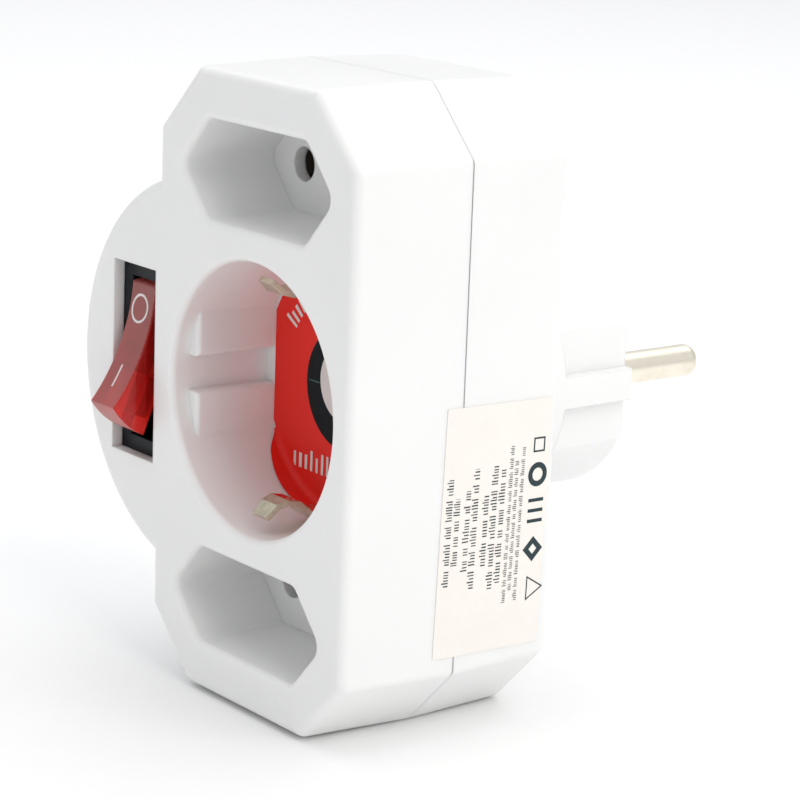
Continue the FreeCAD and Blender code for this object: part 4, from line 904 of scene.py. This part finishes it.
    def build_print(self) -> None:
        """Builds the dark field, its ring and line, and the two rows of pale strokes."""
        dark = Print("sticker_dark_field", self.on_film)
        dark.disc(0.0, self.dark_z, self.dark_radius)
        dark.build(DARK_INK, Body.HOUSING, Slot.STICKER)
        chance = random.Random(5)
        ring = Print("sticker_pale_ring", self.on_film, lift=self.print_lift)
        ring.ring(0.0, self.ring_z, *self.ring_radii)
        row = Print("sticker_pale_row", self.on_row, lift=self.print_lift)
        row.strokes(chance, 13.8, -11.6, 11.9, 3.0, 0.20)
        arc = Print("sticker_pale_arc", self.on_arc, lift=self.print_lift)
        arc.strokes(chance, -13.5, 0.0, 31.5, 2.9, 0.20)
        for piece in (ring, row, arc):
            piece.build(PALE_INK, Body.HOUSING, Slot.STICKER)
        line = Print("sticker_line", self.on_film, lift=self.print_lift)
        line.bar(-8.3, -5.8, -0.45, -0.25)
        line.bar(5.8, 8.3, -0.45, -0.25)
        line.build(TEAL_INK, Body.HOUSING, Slot.STICKER)

    def build(self) -> None:
        """Builds the sticker and dresses the earth parts."""
        self.build_film()
        self.build_print()
        dress("socket_sticker", RED_FILM)
        for node in ("socket_earth_bracket", "earth_link"):
            dress(node, STRIP_METAL)
        dress("earth_rivets", RIVET_METAL)


@dataclass
class RockerSwitch:
    """The lit rocker switch: marks on its face, lamp, frame and the parts inside.

    Attributes:
        centre_x: middle of the switch, in millimetres.
        pivot_depth: depth of the rocker's axle behind the front face.
        tilt: rest tilt of the rocker in degrees, upper end pressed in.
        radius: distance of the tips of the face from the axle.
        half_span: angle from the middle of the face to each tip.
        dish: how far the middle of the face lies below its tips.
        off_radii: outer and inner radius of the ring that says off.
        off_place: its middle, across and along the face.
        on_span: the left, right, lower and upper side of the stroke that says on.
        rod_radius: radius of the rods in the lamp.
        rod_length: their length.
        rod_place: their place from the axle: to each side, forwards and up.
    """

    centre_x: float = -29.5
    pivot_depth: float = 4.6
    tilt: float = 22.0
    radius: float = 11.6
    half_span: float = 53.0
    dish: float = 1.45
    off_radii: Point = (2.15, 1.78)
    off_place: Point = (-0.2, 5.7)
    on_span: tuple[float, float, float, float] = (-0.4, -0.05, -6.35, -2.85)
    rod_radius: float = 0.26
    rod_length: float = 4.0
    rod_place: Colour = (0.55, -2.9, -6.4)

    def on_face(self, u: float, v: float, height: float) -> Vector:
        """The point above the dished face at a place across and along the level rocker."""
        tip_height = self.radius * math.cos(math.radians(self.half_span))
        tip_reach = self.radius * math.sin(math.radians(self.half_span))
        bow = (tip_reach**2 + self.dish**2) / (2 * self.dish)
        pivot_y = FRONT_Y + self.pivot_depth
        y = -tip_height + self.dish - bow + math.sqrt((bow - height) ** 2 - v**2)
        turned = Matrix.Rotation(math.radians(-self.tilt), 3, "X") @ Vector((0.0, y, v))
        return (turned + Vector((self.centre_x + u, pivot_y, 0.0))) * MM

    def build_marks(self) -> None:
        """Builds the ring and the stroke that say off and on."""
        marks = Print("rocker_marks", self.on_face)
        marks.ring(*self.off_place, *self.off_radii, 56)
        marks.bar(*self.on_span, 10)
        marks.build(MARK_INK, Body.ROCKER, Slot.ROCKER)

    def build_electrodes(self) -> None:
        """Builds the two rods inside the lamp's glass."""
        mesh = bmesh.new()
        turn = Matrix.Rotation(math.radians(-self.tilt), 4, "X")
        for side in SIDES:
            rod = bmesh.ops.create_cone(mesh, cap_ends=True, segments=16, radius1=self.rod_radius * MM,
                                        radius2=self.rod_radius * MM, depth=self.rod_length * MM)
            offset = Vector((side * self.rod_place[0], *self.rod_place[1:])) * MM
            bmesh.ops.translate(mesh, verts=rod["verts"], vec=offset)
        rims = [edge for edge in mesh.edges if len(edge.link_faces) == 2 and edge.calc_face_angle() > 1.0]
        bmesh.ops.bevel(mesh, geom=rims, offset=0.08 * MM, segments=2, affect="EDGES")
        bmesh.ops.transform(mesh, matrix=turn, verts=mesh.verts)
        axle = Vector((self.centre_x, FRONT_Y + self.pivot_depth, 0)) * MM
        bmesh.ops.translate(mesh, verts=mesh.verts, vec=axle)
        data = bpy.data.meshes.new("lamp_electrodes")
        mesh.to_mesh(data)
        mesh.free()
        data.materials.append(finished(STEEL))
        rods = bpy.data.objects.new("lamp_electrodes", data)
        bpy.context.scene.collection.objects.link(rods)
        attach(rods, Body.ROCKER.value)
        LOG.info("built lamp_electrodes")

    def build(self) -> None:
        """Builds the marks and the electrodes and dresses every part of the switch."""
        self.build_marks()
        self.build_electrodes()
        dress("switch_body", BLACK_FRAME)
        dress("switch_rocker", RED_ROCKER)
        dress("neon_lamp", LAMP_GLASS)
        dress("switch_plunger", PLUNGER_PLASTIC)
        dress("switch_spring", STEEL)
        for node in ("switch_contact_arm", "terminal_in", "terminal_out", "terminal_lamp"):
            dress(node, BRASS)
        for node in ("moving_contact", "fixed_contact"):
            dress(node, SILVER)
        dress("lamp_resistor", RESISTOR_COAT)


@dataclass
class SideLabel:
    """The paper label on the right side, with rows of strokes and a column of plain shapes.

    Attributes:
        front_depth: depth of its front edge behind the front face, in millimetres.
        width: its width.
        height: its height.
        top_z: height of its upper edge.
        tilt: how far it is turned, in degrees.
        paper: its thickness.
        seam_x: how far the housing's side stands out at the parting line.
        front_slope: how far it draws in towards the front, per millimetre.
        back_slope: how far it draws in towards the back, per millimetre.
        rows: place across the label, start, end and letter height of each row of strokes.
    """

    front_depth: float = 15.7
    width: float = 19.1
    height: float = 35.5
    top_z: float = 1.95
    tilt: float = -1.6
    paper: float = 0.15
    seam_x: float = 24.3
    front_slope: float = 0.6 / 18.9
    back_slope: float = 0.7 / 17.6
    rows: tuple[tuple[float, float, float, float], ...] = (
        (1.20, 10.3, 25.5, 1.10), (2.52, 13.2, 22.7, 1.05), (4.35, 12.2, 23.6, 1.15),
        (5.75, 9.5, 26.6, 1.15), (7.70, 12.5, 23.3, 1.15), (9.20, 9.0, 26.9, 1.15),
        (10.60, 9.7, 26.1, 1.15), (12.10, 6.6, 29.3, 0.70), (13.10, 8.3, 27.5, 0.70),
        (14.20, 6.7, 29.0, 0.70))

    def side_x(self, y: float) -> float:
        """How far the housing's side stands out at a place along Y."""
        if y < SEAM_Y:
            return self.seam_x - self.front_slope * (SEAM_Y - y)
        return self.seam_x - self.back_slope * (y - SEAM_Y)

    def on_label(self, u: float, v: float, height: float) -> Vector:
        """The point above the label at a place across it and up it."""
        turn = math.radians(self.tilt)
        across = u - self.width / 2
        up = v - self.height / 2
        y = FRONT_Y + self.front_depth + self.width / 2 + across * math.cos(turn) - up * math.sin(turn)
        z = self.top_z - self.height / 2 + across * math.sin(turn) + up * math.cos(turn)
        return Vector((self.side_x(y) + self.paper + height, y, z)) * MM

    def build_rows(self) -> None:
        """Builds the rows of short strokes."""
        chance = random.Random(11)
        ink = Print("label_rows", self.on_label, thickness=0.012, lift=0.008)
        for middle, start, end, tall in self.rows:
            ink.strokes(chance, middle + tall / 2, start, end, tall, 0.15)
        ink.build(LABEL_INK, Body.HOUSING, Slot.LABEL)

    def build_shapes(self) -> None:
        """Builds the column of plain shapes beside the rear edge."""
        ink = Print("label_shapes", self.on_label, thickness=0.012, lift=0.008)
        ink.ring(17.1, 28.9, 1.5, 1.15, 4, 45.0)
        ink.ring(17.1, 24.6, 1.75, 0.95, 40)
        for level in (20.9, 19.4, 17.9):
            ink.bar(15.7, 18.5, level - 0.25, level + 0.25)
        ink.ring(17.1, 13.8, 1.85, 0.75, 4)
        ink.ring(17.4, 8.1, 2.1, 1.7, 3)
        ink.build(LABEL_INK, Body.HOUSING, Slot.LABEL)

    def build(self) -> None:
        """Dresses the label and builds its print."""
        dress("rating_label", LABEL_PAPER)
        self.build_rows()
        self.build_shapes()


@dataclass
class PlugAndWiring:
    """The plug's pins and straps, and the busbars, leaves and wires inside."""

    brass: tuple[str, ...] = ("line_busbar", "neutral_busbar", "line_pin_tab")
    leaves: tuple[str, ...] = (
        "line_contact_upper", "line_contact_middle", "line_contact_lower",
        "neutral_contact_upper", "neutral_contact_middle", "neutral_contact_lower")

    def build(self) -> None:
        """Dresses every part."""
        for node in ("line_plug_pin", "neutral_plug_pin"):
            dress(node, PIN_METAL)
        dress("plug_earth_strap", STRIP_METAL)
        for node in self.brass:
            dress(node, BRASS)
        for node in self.leaves:
            dress(node, BRONZE)
        for node in ("line_in_wire", "line_out_wire"):
            dress(node, BROWN_WIRE)
        dress("lamp_wire", BLUE_WIRE)


@dataclass(frozen=True)
class SoftLight:
    """One soft square light.

    Attributes:
        name: its name.
        stand: where it stands, in metres.
        aim: the point that it faces, in metres.
        size: length of its sides in metres.
        power: its power in watts.
        colour: its colour.
    """

    name: str
    stand: Colour
    aim: Colour
    size: float
    power: float
    colour: Colour

    def build(self) -> None:
        """Adds the light to the scene."""
        light = bpy.data.lights.new(self.name, "AREA")
        light.size = self.size
        light.energy = self.power
        light.color = self.colour
        lamp = bpy.data.objects.new(self.name, light)
        lamp.location = self.stand
        direction = Vector(self.aim) - Vector(self.stand)
        lamp.rotation_euler = direction.to_track_quat("-Z", "Y").to_euler()
        bpy.context.scene.collection.objects.link(lamp)


@dataclass
class Studio:
    """Floor, soft lights and the camera.

    Attributes:
        eye: place of the camera in millimetres.
        ahead: direction that it looks along.
        up: its upward direction.
        lens: focal length on a 36 mm sensor.
        floor_z: height of the floor in millimetres.
        floor_reach: how far it spreads to each side, in metres.
        surround: colour of the world.
        surround_strength: its strength.
        lights: the soft lights, from the right and from above.
    """

    eye: Colour = (320.52, -277.50, 94.28)
    ahead: Colour = (-0.76831, 0.59623, -0.23283)
    up: Colour = (-0.20663, 0.11324, 0.97184)
    lens: float = 130.07
    floor_z: float = -45.6
    floor_reach: float = 4.0
    surround: Colour = (0.97, 0.98, 1.0)
    surround_strength: float = 0.64
    lights: tuple[SoftLight, ...] = (
        SoftLight("key_right", (0.75, 0.05, 0.55), (0.0, -0.03, 0.0), 0.7, 3.2, (1.0, 0.98, 0.94)),
        SoftLight("top", (-0.35, 0.25, 1.1), (-0.3, 0.2, 0.0), 1.8, 10.2, (1.0, 1.0, 1.0)))

    def build_camera(self) -> None:
        """Places the camera where the photograph was taken from."""
        camera = bpy.data.cameras.new("camera")
        camera.lens = self.lens
        camera.sensor_width = 36.0
        camera.clip_start = 0.01
        shown = bpy.data.objects.new("camera", camera)
        bpy.context.scene.collection.objects.link(shown)
        back = -Vector(self.ahead).normalized()
        right = Vector(self.up).cross(back).normalized()
        upward = back.cross(right)
        turn = Matrix((right, upward, back)).transposed().to_4x4()
        shown.matrix_world = Matrix.Translation(Vector(self.eye) * MM) @ turn
        bpy.context.scene.camera = shown

    def build_floor(self) -> None:
        """Lays a wide pale floor under the adapter."""
        mesh = bmesh.new()
        bmesh.ops.create_grid(mesh, x_segments=8, y_segments=8, size=self.floor_reach)
        data = bpy.data.meshes.new("floor")
        mesh.to_mesh(data)
        mesh.free()
        data.materials.append(finished(FLOOR_PAPER))
        floor = bpy.data.objects.new("floor", data)
        floor.location.z = self.floor_z * MM
        bpy.context.scene.collection.objects.link(floor)

    def build_lights(self) -> None:
        """Sets a white surround and the soft lights."""
        world = bpy.data.worlds.new("surround")
        world.use_nodes = True
        background = world.node_tree.nodes["Background"]
        background.inputs[0].default_value = (*self.surround, 1.0)
        background.inputs[1].default_value = self.surround_strength
        bpy.context.scene.world = world
        for light in self.lights:
            light.build()

    def build(self) -> None:
        """Builds the camera, the floor and the lights."""
        self.build_camera()
        self.build_floor()
        self.build_lights()
        bpy.context.scene.view_settings.view_transform = "Standard"


def main() -> None:
    """Builds the whole scene."""
    logging.basicConfig(level=logging.INFO)
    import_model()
    for assembly in (Housing(), RoundSocket(), RockerSwitch(), SideLabel(), PlugAndWiring(), Studio()):
        assembly.build()
        LOG.info("finished %s", type(assembly).__name__)


if __name__ == "__main__":
    main()
